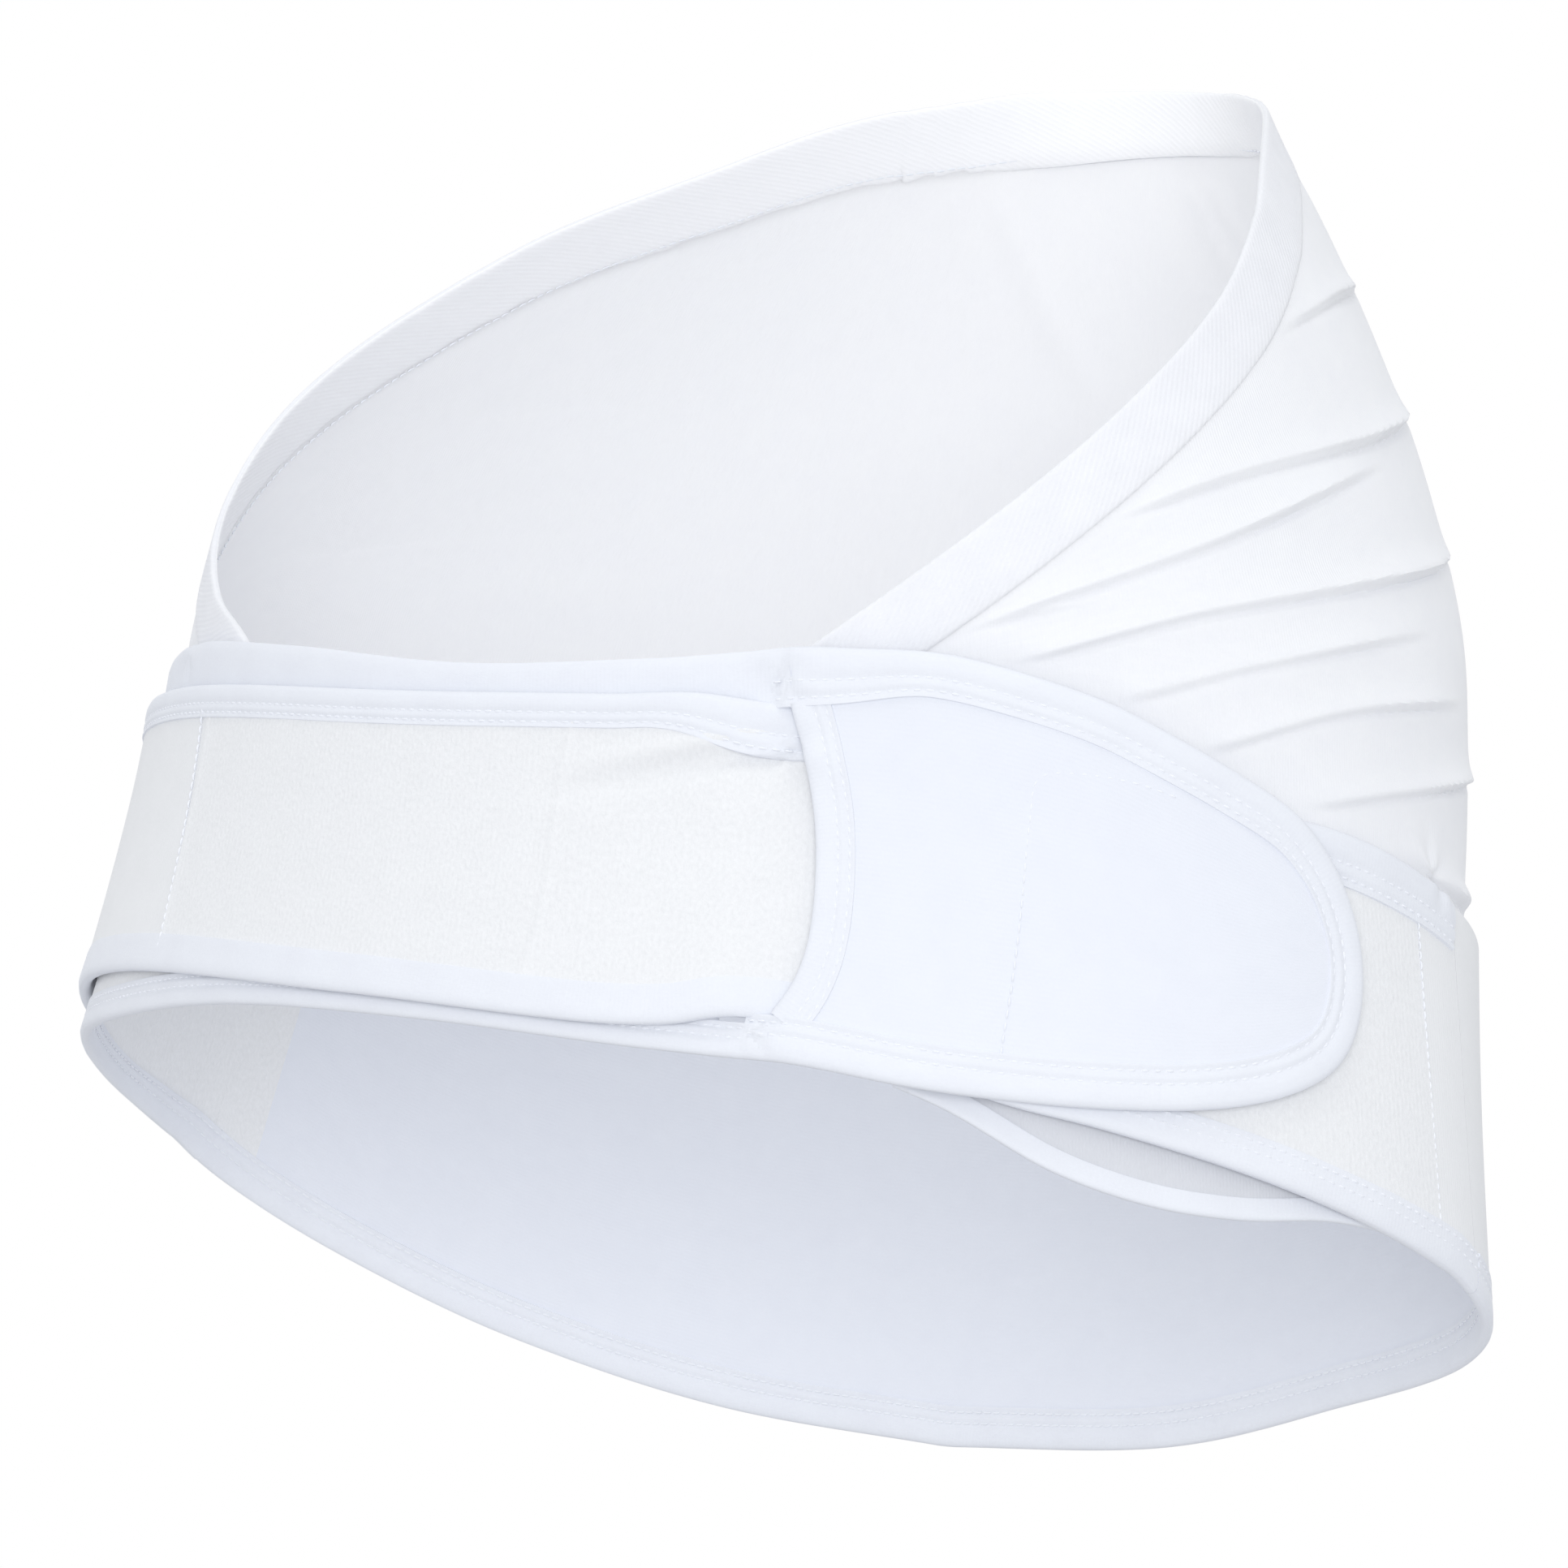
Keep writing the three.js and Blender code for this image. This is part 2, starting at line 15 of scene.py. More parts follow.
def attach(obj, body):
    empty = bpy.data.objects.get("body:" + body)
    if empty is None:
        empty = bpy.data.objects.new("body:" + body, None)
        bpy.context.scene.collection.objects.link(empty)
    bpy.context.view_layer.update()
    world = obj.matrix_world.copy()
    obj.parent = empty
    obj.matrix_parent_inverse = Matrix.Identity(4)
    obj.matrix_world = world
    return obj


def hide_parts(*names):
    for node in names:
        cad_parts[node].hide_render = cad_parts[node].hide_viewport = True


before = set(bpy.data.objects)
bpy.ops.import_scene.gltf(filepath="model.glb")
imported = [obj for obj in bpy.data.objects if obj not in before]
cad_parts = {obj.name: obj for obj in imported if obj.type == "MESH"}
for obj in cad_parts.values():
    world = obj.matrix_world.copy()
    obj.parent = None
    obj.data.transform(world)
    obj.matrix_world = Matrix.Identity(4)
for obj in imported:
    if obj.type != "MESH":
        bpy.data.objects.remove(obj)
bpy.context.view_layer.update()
METRE = 0.001

# Driving sizes, the same as the solids have
HIP_WIDTH = 342
FRONT_DEPTH = 129
BACK_DEPTH = 110
BACK_RISE = 225
BELT_RISE = 72
HEM_DROP = 85
BAND_HEIGHT = 14
SIDE_SEAM = 96
TUCK = 5

# Walls of the cloth and its tapes, and the layers above the body surface
STRETCH_WALL = 1.0
PANEL_WALL = 1.8
FLAP_WALL = 1.1
TAPE_WALL = 2.8
SLOT_WALL = 2.4
FLAP_TAPE_WALL = 2.0
BAND_WALL = 1.6
LINING_LEVEL = 0.7
INNER_LEVEL = 3.2
OUTER_LEVEL = 6.4
FLAP_LEVEL = 0.1

# Widths of the bound edges
WING_TOP_TAPE = 9.5
WING_HEM_TAPE = 7
TONGUE_TAPE = 9
STRAP_TAPE = 7
SLOT_TAPE = 8
HEM_TAPE = 9
FLAP_TAPE = 4.5

SLOT_ANGLE = 27.7
SLOT_WIDTH = 16
STRAP_END = -74
STRAP_SEAM = -30
FLAP_REACH = 34

# Body sections: level, half width, front depth and back depth, as shares of the driving sizes
SECTIONS = [
    (-0.378, 0.520, 0.970, 0.645),
    (-0.111, 0.483, 0.940, 0.755),
    (0.156, 0.447, 0.895, 0.885),
    (0.422, 0.416, 0.910, 0.985),
    (0.689, 0.330, 0.930, 0.970),
    (0.956, 0.200, 0.960, 0.900),
]

# Edges of the belt: angle, hem as a share of HEM_DROP, top as a share of BELT_RISE
BELT_EDGES = [
    (-180, -1.00, 0.14),
    (-160, -0.97, 0.17),
    (-140, -0.86, 0.25),
    (-120, -0.70, 0.36),
    (-98, -0.51, 0.53),
    (-80, -0.34, 0.72),
    (-60, -0.21, 0.87),
    (-40, -0.15, 0.95),
    (-20, -0.10, 0.93),
    (0, -0.10, 0.89),
    (17, -0.12, 0.93),
    (30, -0.13, 0.99),
    (40, -0.16, 1.00),
    (54, -0.20, 0.91),
    (67, -0.27, 0.74),
    (80, -0.36, 0.64),
    (96, -0.49, 0.51),
    (115, -0.62, 0.38),
    (140, -0.77, 0.25),
    (160, -0.93, 0.17),
    (180, -1.00, 0.14),
]

# Top rim from the left junction round the back to the right one: angle, share of BACK_RISE
RIM_EDGES = [
    (20, 0.235),
    (29, 0.316),
    (41, 0.418),
    (52, 0.507),
    (63, 0.591),
    (76, 0.684),
    (89, 0.778),
    (101, 0.849),
    (115, 0.905),
    (132, 0.947),
    (152, 0.982),
    (180, 1.000),
    (204, 0.991),
    (217, 0.969),
    (232, 0.929),
    (246, 0.867),
    (264, 0.778),
    (278, 0.680),
    (294, 0.560),
    (306, 0.455),
    (320, 0.356),
    (329, 0.312),
    (338, 0.250),
]

# Edges of the right wing and its strap: angle, hem of HEM_DROP, top of BELT_RISE
STRAP_EDGES = [
    (-90, -0.30, 0.62),
    (-60, -0.10, 0.76),
    (-37, -0.04, 0.81),
    (-5, -0.06, 0.80),
    (14, -0.08, 0.82),
    (21, -0.07, 0.84),
    (26, -0.036, 0.83),
    (31, -0.036, 0.83),
    (36, -0.06, 0.84),
    (40, -0.11, 0.84),
    (46, -0.165, 0.82),
    (54, -0.20, 0.78),
    (67, -0.27, 0.69),
    (80, -0.36, 0.64),
    (98, -0.51, 0.51),
]

# Outline of the tongue from the slot along its top and back: angle, share of BELT_RISE
TONGUE_OUTLINE = [
    (31.5, 0.99),
    (40, 1.00),
    (47, 0.965),
    (54, 0.91),
    (60, 0.835),
    (66, 0.755),
    (72, 0.66),
    (76, 0.52),
    (78.3, 0.32),
    (77.6, 0.12),
    (75, -0.01),
    (70, -0.10),
    (63, -0.16),
    (54, -0.19),
    (46, -0.195),
    (39, -0.185),
    (31.5, -0.155),
]

# Lower edge of the inner flap: angle, share of HEM_DROP
FLAP_EDGES = [
    (36, -0.13),
    (42, -0.19),
    (50, -0.30),
    (58, -0.355),
    (66, -0.365),
    (76, -0.345),
    (86, -0.37),
    (96, -0.44),
]

# Gathers of the hip panel: three angles, each with its share of BACK_RISE, and the fold's height
# as a share of GATHER_HEIGHT
GATHERS = [
    (76, 0.640, 98, 0.715, 118, 0.755, 0.55),
    (54, 0.452, 75, 0.530, 116, 0.633, 0.75),
    (43, 0.352, 61, 0.429, 90, 0.546, 0.6),
    (36, 0.318, 43, 0.350, 52, 0.380, 0.25),
    (42, 0.305, 66, 0.392, 114, 0.498, 0.8),
    (53, 0.290, 69, 0.346, 92, 0.402, 0.45),
    (62, 0.260, 80, 0.320, 101, 0.350, 0.6),
    (70, 0.219, 88, 0.257, 113, 0.291, 0.75),
    (88, 0.195, 97, 0.184, 110, 0.170, 0.8),
]

# Soft creases drawn down from the rim at the back: angle and height of both ends, and depth, mm
CREASES = [
    (206, 202, 184, 150, 0.9),
    (213, 200, 207, 182, 0.6),
    (170, 204, 161, 176, 0.7),
    (166, 205, 157, 184, 0.6),
]

# How far light spreads inside glowing cloth in metres, and the angle from which edges shade sharp
GLOW_DEPTH = 0.002
SHARP = math.radians(55)


def fabric(name, colour, shade, grain, rib, depth, mottle=0.5, roughness=0.8, sheen=0.15, glow=0):
    """Cloth finish. Grain is the fuzz's size in mm along and across, rib the pitch of its ribs
    and their slant in degrees, and depth what the fuzz and the ribs stand proud in mm."""
    material = bpy.data.materials.new(name)
    material.use_nodes = True
    nodes = material.node_tree.nodes
    links = material.node_tree.links
    nodes.clear()
    surface = nodes.new("ShaderNodeOutputMaterial")
    skin = nodes.new("ShaderNodeBsdfPrincipled")
    links.new(skin.outputs["BSDF"], surface.inputs["Surface"])
    cloth_place = nodes.new("ShaderNodeAttribute")
    cloth_place.attribute_name = "cloth"

    def noise(scale, detail):
        stretch = nodes.new("ShaderNodeMapping")
        stretch.inputs["Scale"].default_value = (*scale, 1.0)
        texture = nodes.new("ShaderNodeTexNoise")
        texture.inputs["Scale"].default_value = 1.0
        texture.inputs["Detail"].default_value = detail
        texture.inputs["Roughness"].default_value = 0.6
        links.new(cloth_place.outputs["Vector"], stretch.inputs["Vector"])
        links.new(stretch.outputs["Vector"], texture.inputs["Vector"])
        return texture.outputs["Fac"]

    def math_node(operation, first, second):
        node = nodes.new("ShaderNodeMath")
        node.operation = operation
        for socket, value in zip(node.inputs, (first, second)):
            if isinstance(value, (int, float)):
                socket.default_value = value
            else:
                links.new(value, socket)
        return node.outputs[0]

    fuzz = noise((1 / grain[0], 1 / grain[1]), 3.0)
    patches = noise((0.11, 0.15), 2.0)
    slant = nodes.new("ShaderNodeMapping")
    slant.inputs["Rotation"].default_value = (0.0, 0.0, math.radians(rib[1]))
    slant.inputs["Scale"].default_value = (1 / rib[0], 1 / rib[0], 1.0)
    ribs = nodes.new("ShaderNodeTexWave")
    ribs.wave_profile = "SIN"
    ribs.inputs["Scale"].default_value = 0.314
    ribs.inputs["Distortion"].default_value = 0.6
    ribs.inputs["Detail"].default_value = 1.0
    links.new(cloth_place.outputs["Vector"], slant.inputs["Vector"])
    links.new(slant.outputs["Vector"], ribs.inputs["Vector"])
    height = math_node(
        "ADD",
        math_node("MULTIPLY", fuzz, depth[0]),
        math_node("MULTIPLY", ribs.outputs["Fac"], depth[1]),
    )
    bump = nodes.new("ShaderNodeBump")
    bump.inputs["Strength"].default_value = 1.0
    bump.inputs["Distance"].default_value = METRE
    links.new(height, bump.inputs["Height"])
    links.new(bump.outputs["Normal"], skin.inputs["Normal"])
    tone = nodes.new("ShaderNodeMapRange")
    tone.inputs["From Min"].default_value = 0.32
    tone.inputs["From Max"].default_value = 0.68
    spots = math_node("MULTIPLY", fuzz, mottle)
    clouds = math_node("MULTIPLY", patches, 1 - mottle)
    links.new(math_node("ADD", spots, clouds), tone.inputs["Value"])
    blend = nodes.new("ShaderNodeMix")
    blend.data_type = "RGBA"
    blend.inputs["A"].default_value = (*shade, 1.0)
    blend.inputs["B"].default_value = (*colour, 1.0)
    links.new(tone.outputs["Result"], blend.inputs["Factor"])
    links.new(blend.outputs["Result"], skin.inputs["Base Color"])
    gloss = nodes.new("ShaderNodeMapRange")
    gloss.inputs["To Min"].default_value = roughness - 0.08
    gloss.inputs["To Max"].default_value = roughness + 0.08
    links.new(fuzz, gloss.inputs["Value"])
    links.new(gloss.outputs["Result"], skin.inputs["Roughness"])
    skin.inputs["Specular IOR Level"].default_value = 0.25
    skin.inputs["Sheen Weight"].default_value = sheen
    skin.inputs["Sheen Roughness"].default_value = 0.5
    skin.inputs["Subsurface Weight"].default_value = glow
    skin.inputs["Subsurface Radius"].default_value = (1.0, 1.0, 1.0)
    skin.inputs["Subsurface Scale"].default_value = GLOW_DEPTH
    return material


LOOP = fabric(
    "loop_fabric",
    colour=(0.85, 0.86, 0.88),
    shade=(0.79, 0.80, 0.82),
    grain=(0.9, 1.3),
    rib=(1.3, 0),
    depth=(0.16, 0.02),
    mottle=0.8,
    roughness=0.9,
    sheen=0.3,
)
BACKING = fabric(
    "strap_backing",
    colour=(0.84, 0.85, 0.87),
    shade=(0.81, 0.82, 0.84),
    grain=(0.6, 1.0),
    rib=(0.9, 0),
    depth=(0.05, 0.02),
)
SMOOTH = fabric(
    "smooth_fabric",
    colour=(0.80, 0.825, 0.89),
    shade=(0.775, 0.80, 0.87),
    grain=(0.5, 0.5),
    rib=(0.8, 90),
    depth=(0.03, 0.01),
)
STRETCH = fabric(
    "stretch_fabric",
    colour=(0.84, 0.85, 0.88),
    shade=(0.81, 0.82, 0.86),
    grain=(0.5, 1.2),
    rib=(0.7, 0),
    depth=(0.03, 0.02),
    glow=0.55,
)
# Brighter copy of the stretch fabric for the hip panel's inner face: painted light that brightens
# the inside of the belt
STRETCH_INSIDE_PAINTED_LIGHT = fabric(
    "stretch_fabric_inside_painted_light",
    colour=(0.90, 0.905, 0.93),
    shade=(0.88, 0.885, 0.915),
    grain=(0.5, 1.2),
    rib=(0.7, 0),
    depth=(0.03, 0.02),
    glow=0.55,
)
# Brighter copy of the elastic for the waistband's inner face: painted light that brightens the band
# inside the rim
ELASTIC_INSIDE_PAINTED_LIGHT = fabric(
    "elastic_inside_painted_light",
    colour=(0.945, 0.95, 0.975),
    shade=(0.915, 0.92, 0.95),
    grain=(0.6, 0.35),
    rib=(1.1, 60),
    depth=(0.05, 0.05),
    roughness=0.7,
    glow=0.3,
)
ELASTIC = fabric(
    "elastic",
    colour=(0.85, 0.86, 0.90),
    shade=(0.80, 0.81, 0.85),
    grain=(0.6, 0.35),
    rib=(1.1, 60),
    depth=(0.05, 0.05),
    roughness=0.7,
    glow=0.3,
)
# Greyer copy of the stretch fabric for the inner flap: painted shade for the flap lying in the
# wing's shadow
FLAP_PAINTED_SHADE = fabric(
    "flap_painted_shade",
    colour=(0.70, 0.715, 0.76),
    shade=(0.66, 0.675, 0.72),
    grain=(0.5, 1.2),
    rib=(0.7, 0),
    depth=(0.03, 0.02),
)
TAPE = fabric(
    "binding",
    colour=(0.81, 0.835, 0.89),
    shade=(0.78, 0.80, 0.86),
    grain=(0.9, 0.4),
    rib=(0.9, 0),
    depth=(0.03, 0.015),
    roughness=0.7,
)
THREAD = fabric(
    "thread",
    colour=(0.87, 0.89, 0.94),
    shade=(0.83, 0.85, 0.90),
    grain=(0.3, 0.3),
    rib=(0.35, 45),
    depth=(0.0, 0.005),
    roughness=0.6,
)


def smooth_curve(xs, ys):
    """Smooth curve through points, flat beyond its ends."""
    xs = np.asarray(xs, float)
    ys = np.asarray(ys, float)
    slopes = np.gradient(ys)
    reach = np.gradient(xs)
    slopes = slopes / reach

    def height(x):
        x = np.clip(np.asarray(x, float), xs[0], xs[-1])
        i = np.clip(np.searchsorted(xs, x, side="right") - 1, 0, len(xs) - 2)
        span = xs[i + 1] - xs[i]
        t = (x - xs[i]) / span
        t2 = t * t
        t3 = t2 * t
        start = (2 * t3 - 3 * t2 + 1) * ys[i] + (t3 - 2 * t2 + t) * span * slopes[i]
        return start + (3 * t2 - 2 * t3) * ys[i + 1] + (t3 - t2) * span * slopes[i + 1]

    return height


def column(table, index, scale=1):
    return smooth_curve([row[0] for row in table], [row[index] * scale for row in table])


section_width = column(SECTIONS, 1, HIP_WIDTH)
section_front = column(SECTIONS, 2, FRONT_DEPTH)
section_back = column(SECTIONS, 3, BACK_DEPTH)
belt_hem_open = column(BELT_EDGES, 1, HEM_DROP)
belt_top_open = column(BELT_EDGES, 2, BELT_RISE)
rim_top = column(RIM_EDGES, 1, BACK_RISE)
strap_hem = column(STRAP_EDGES, 1, HEM_DROP)
strap_top = column(STRAP_EDGES, 2, BELT_RISE)
flap_hem = column(FLAP_EDGES, 1, HEM_DROP)


def belt_hem(angle):
    return belt_hem_open((np.asarray(angle) + 180) % 360 - 180)


def belt_top(angle):
    return belt_top_open((np.asarray(angle) + 180) % 360 - 180)


def smoothstep(x, low, high):
    t = np.clip((x - low) / (high - low), 0, 1)
    return t * t * (3 - 2 * t)


def body_point(angle, z):
    level = z / BACK_RISE
    sine = np.sin(np.radians(angle))
    cosine = np.cos(np.radians(angle))
    depth = np.where(cosine > 0, section_front(level), section_back(level))
    return np.stack([section_width(level) * sine, -depth * cosine, z + 0 * sine], -1)


def unit(vectors):
    return vectors / np.linalg.norm(vectors, axis=-1, keepdims=True)


def surface_frame(angle, z):
    """Steps along the surface for a degree round it and a millimetre up, and the way out of it."""
    step = 0.5
    across = (body_point(angle + step, z) - body_point(angle - step, z)) / (2 * step)
    rise = (body_point(angle, z + step) - body_point(angle, z - step)) / (2 * step)
    return across, rise, unit(np.cross(across, rise))


def place(angle, z, level):
    angle, z, level = np.broadcast_arrays(angle, z, level)
    return body_point(angle, z) + surface_frame(angle, z)[2] * level[..., None]


def arc(angle, length):
    """Degrees that a length along the belt takes up."""
    return length / np.linalg.norm(surface_frame(np.array(float(angle)), np.array(0.0))[0])


def inset(angle, z, distance):
    """Moves a path sideways within the surface, to its left as seen from outside."""
    count = int(np.ceil(np.max(np.abs(distance)) / 2.5))
    for _ in range(count):
        across, rise, out = surface_frame(angle, z)
        ahead = unit(np.gradient(body_point(angle, z), axis=0))
        side = unit(np.cross(out, ahead))
        angle = angle + distance / count * (side * across).sum(-1) / (across * across).sum(-1)
        z = z + distance / count * (side * rise).sum(-1) / (rise * rise).sum(-1)
    return angle, z


def inset_height(height, start, stop, distance):
    angles = np.linspace(start, stop, int(abs(stop - start)) + 1)
    moved_angle, moved_z = inset(angles, height(angles), distance)
    return lambda angle: np.interp(angle, moved_angle, moved_z)


SLOT_HALF = arc(SLOT_ANGLE, SLOT_WIDTH / 2)
SLOT_FRONT = SLOT_ANGLE - SLOT_HALF
SLOT_REAR = SLOT_ANGLE + SLOT_HALF


def wing_level(angle):
    return INNER_LEVEL + (OUTER_LEVEL - INNER_LEVEL) * smoothstep(angle, SLOT_FRONT, SLOT_REAR)


def strap_level(angle):
    return OUTER_LEVEL - (OUTER_LEVEL - INNER_LEVEL) * smoothstep(angle, SLOT_FRONT - 1, SLOT_REAR)


def new_object(name, verts, faces, material, weave, tidy=True):
    """Mesh object from points in millimetres; weave is each point's place in the cloth."""
    mesh = bpy.data.meshes.new(name)
    mesh.from_pydata((np.asarray(verts) * METRE).tolist(), [], faces)
    if tidy:
        sides = bmesh.new()
        sides.from_mesh(mesh)
        bmesh.ops.recalc_face_normals(sides, faces=sides.faces)
        sides.to_mesh(mesh)
        sides.free()
    mesh.polygons.foreach_set("use_smooth", [True] * len(mesh.polygons))
    mesh.set_sharp_from_angle(angle=SHARP)
    attribute = mesh.attributes.new("cloth", "FLOAT_VECTOR", "POINT")
    attribute.data.foreach_set("vector", np.asarray(weave, np.float32).ravel())
    mesh.update()
    obj = bpy.data.objects.new(name, mesh)
    bpy.context.scene.collection.objects.link(obj)
    mesh.materials.append(material)
    return obj


def shell(name, outer, inner, material, inner_material=None):
    """Closed cloth wall between two grids of points, with an outward side and an inward side."""
    run = np.linalg.norm(np.diff(outer, axis=0), axis=2).mean(1)
    rise = np.linalg.norm(np.diff(outer, axis=1), axis=2).mean(0)
    run = np.concatenate([[0], np.cumsum(run)])[:, None]
    rise = np.concatenate([[0], np.cumsum(rise)])[None, :]
    run, rise = np.broadcast_arrays(run, rise)
    weave = np.stack([run, rise, 0 * run], -1).reshape(-1, 3)
    weave = np.concatenate([weave, weave])
    columns, rows = outer.shape[:2]
    index = np.arange(columns * rows).reshape(columns, rows)
    back = index + columns * rows
    a = index[:-1, :-1]
    b = index[1:, :-1]
    c = index[1:, 1:]
    d = index[:-1, 1:]
    faces = np.stack([a, b, c, d], -1).reshape(-1, 4).tolist()
    outward = len(faces)
    faces += (np.stack([a, d, c, b], -1) + columns * rows).reshape(-1, 4).tolist()
    for line, mate, flip in (
        (index[:, 0], back[:, 0], False),
        (index[:, -1], back[:, -1], True),
        (index[0], back[0], True),
        (index[-1], back[-1], False),
    ):
        for i in range(len(line) - 1):
            quad = [line[i], mate[i], mate[i + 1], line[i + 1]]
            faces.append([int(v) for v in (quad[::-1] if flip else quad)])
    verts = np.concatenate([outer.reshape(-1, 3), inner.reshape(-1, 3)])
    obj = new_object(name, verts, faces, material, weave)
    if inner_material:
        obj.data.materials.append(inner_material)
        slots = np.zeros(len(faces), int)
        slots[outward:2 * outward] = 1
        obj.data.polygons.foreach_set("material_index", slots)
    return obj


def cloth(name, angles, foot, head, rows, wall, level, material, relief=None, inner_material=None):
    """Panel with upright columns between two heights; relief lifts the cloth off its level."""
    angle = np.repeat(np.asarray(angles, float)[:, None], rows + 1, 1)
    share = np.linspace(0, 1, rows + 1)[None, :]
    low = foot(angle[:, 0])[:, None]
    high = head(angle[:, 0])[:, None]
    z = low + (high - low) * share
    return cloth_grid(name, angle, z, wall, level(angle), material, relief, inner_material)


def cloth_grid(name, angle, z, wall, level, material, relief=None, inner_material=None):
    lift = relief(angle, z) if relief else 0
    out = surface_frame(angle, z)[2]
    outer = crumple(place(angle, z, level + lift + wall / 2), out)
    inner = crumple(place(angle, z, level + lift - wall / 2), out)
    return shell(name, outer, inner, material, inner_material)


def patch(obj, angles, rows, material, start, stop, inside=False):
    """Gives one face of an upright panel another finish between two angles."""
    middle = (angles[:-1] + angles[1:]) / 2
    chosen = np.repeat((middle > start) & (middle < stop), rows)
    slots = np.zeros(len(obj.data.polygons), int)
    obj.data.polygons.foreach_get("material_index", slots)
    first = len(chosen) if inside else 0
    obj.data.materials.append(material)
    slots[first:first + len(chosen)][chosen] = len(obj.data.materials) - 1
    obj.data.polygons.foreach_set("material_index", slots)


def steps(start, stop, step):
    return np.linspace(start, stop, max(2, int(round(abs(stop - start) / step))) + 1)


# Folded tape over an edge, from its inner edge to its free one: shares of width and half wall
TAPE_SECTION = [
    (-0.50, 0.60),
    (-0.485, 0.96),
    (-0.43, 0.99),
    (-0.37, 0.80),
    (-0.32, 0.80),
    (-0.27, 0.97),
    (-0.14, 0.99),
    (-0.09, 0.83),
    (-0.04, 0.83),
    (0.02, 0.99),
    (0.18, 1.02),
    (0.34, 0.98),
    (0.44, 0.78),
    (0.49, 0.42),
]

# Tape whose stitch rows don't show: the same shares
PLAIN_SECTION = [
    (-0.50, 0.60),
    (-0.49, 0.82),
    (-0.42, 0.88),
    (-0.25, 0.90),
    (0.00, 0.96),
    (0.18, 1.00),
    (0.32, 0.98),
    (0.42, 0.82),
    (0.48, 0.50),
]

# Places of the two stitch rows as shares of the tape's width, and their height of its half wall
INNER_ROW = -0.345
OUTER_ROW = -0.065
ROW_HEIGHT = 0.81

# Elastic band folded over at the rim, from its seam to the rim: shares of width and half wall
BAND_SECTION = [
    (-0.50, 0.45),
    (-0.48, 0.66),
    (-0.45, 0.76),
    (-0.41, 0.80),
    (-0.36, 0.92),
    (-0.20, 1.00),
    (0.00, 1.00),
    (0.20, 1.00),
    (0.38, 1.02),
    (0.45, 1.00),
    (0.485, 0.80),
    (0.50, 0.35),
]
STITCH_PITCH = 2.4
STITCH_LENGTH = 1.8
STITCH_RADIUS = 0.22

# Crumples: angle, height and level of the pinch, its reach and depth in mm, and its rays
PINCHES = [
    (28.0, 64.5, OUTER_LEVEL, 5.5, 0.9, 5),
    (28.6, 50.0, OUTER_LEVEL, 7.5, 1.0, 4),
    (27.4, -6.0, OUTER_LEVEL, 5.0, 0.8, 5),
    (-41.0, 66.0, INNER_LEVEL, 7.0, 0.8, 4),
    (94.0, 42.0, INNER_LEVEL, 8.0, 1.0, 5),
]


def crumple(points, out):
    """Points moved in and out in rays round each pinch."""
    lift = np.zeros(points.shape[:-1])
    for angle, z, level, reach, depth, rays in PINCHES:
        across, rise, _ = surface_frame(np.array(angle), np.array(z))
        apart = points - place(np.array(angle), np.array(z), np.array(level))
        run = apart @ unit(across)
        climb = apart @ unit(rise)
        fade = np.exp(-(apart ** 2).sum(-1) / reach ** 2)
        turn = np.arctan2(climb, run)
        lift += depth * fade * (0.55 * np.cos(rays * turn + 0.7) - 0.45)
    return points + out * lift[..., None]


def path_length(angle, z):
    points = body_point(angle, z)
    pieces = np.linalg.norm(np.diff(points, axis=0), axis=1)
    return np.concatenate([[0], np.cumsum(pieces)])


def pucker(along):
    """Small unevenness of a sewn edge along its length."""
    return 0.5 * np.sin(along / 3.1) + 0.3 * np.sin(along / 1.7 + 1.3) + 0.4 * np.sin(along / 7.9)


def evened(directions, reach):
    """Directions along a path, each averaged with as many as reach on both of its sides."""
    before = np.repeat(directions[:1], reach, 0)
    after = np.repeat(directions[-1:], reach, 0)
    padded = np.concatenate([before, directions, after])
    return unit(sum(padded[i:i + len(directions)] for i in range(2 * reach + 1)))


def tape(
    name, angle, z, width, level, edge, material, wall=TAPE_WALL, section=TAPE_SECTION, reach=0
):
    """Tape along a path of middle points; edge is 1 where its free edge is up, and -1 down.
    Reach is how many points on both sides even out the way it faces."""
    width = np.broadcast_to(width, angle.shape)[:, None]
    wall = np.broadcast_to(wall, angle.shape)[:, None]
    out = evened(surface_frame(angle, z)[2], reach)
    ahead = unit(np.gradient(body_point(angle, z), axis=0))
    side = unit(np.cross(out, ahead)) * edge
    centre = place(angle, z, level(angle))
    around = np.array(section + [(a, -b) for a, b in reversed(section)])
    length = path_length(angle, z)
    swell = 1 + 0.06 * pucker(length)[:, None]
    up = around[None, :, 1] * wall / 2 * swell
    across = around[None, :, 0] * width
    rings = centre[:, None] + side[:, None] * across[..., None] + out[:, None] * up[..., None]
    rings = crumple(rings, out[:, None])
    count = len(around)
    index = np.arange(len(rings) * count).reshape(len(rings), count)
    following = np.roll(index, -1, axis=1)
    quads = np.stack([index[:-1], following[:-1], following[1:], index[1:]], -1)
    faces = quads.reshape(-1, 4).tolist()
    faces.append(index[0].tolist())
    faces.append(index[-1].tolist())
    run = np.repeat(length[:, None], count, 1)
    weave = np.stack([run, across, up], -1).reshape(-1, 3)
    return new_object(name, rings.reshape(-1, 3), faces, material, weave)


def row_path(angle, z, width, edge, share):
    return inset(angle, z, edge * share * width)


def evenly(angle, z, pitch):
    length = path_length(angle, z)
    count = max(2, int(length[-1] / pitch))
    at = (np.arange(count) + 0.5) * length[-1] / count
    return np.interp(at, length, angle), np.interp(at, length, z)


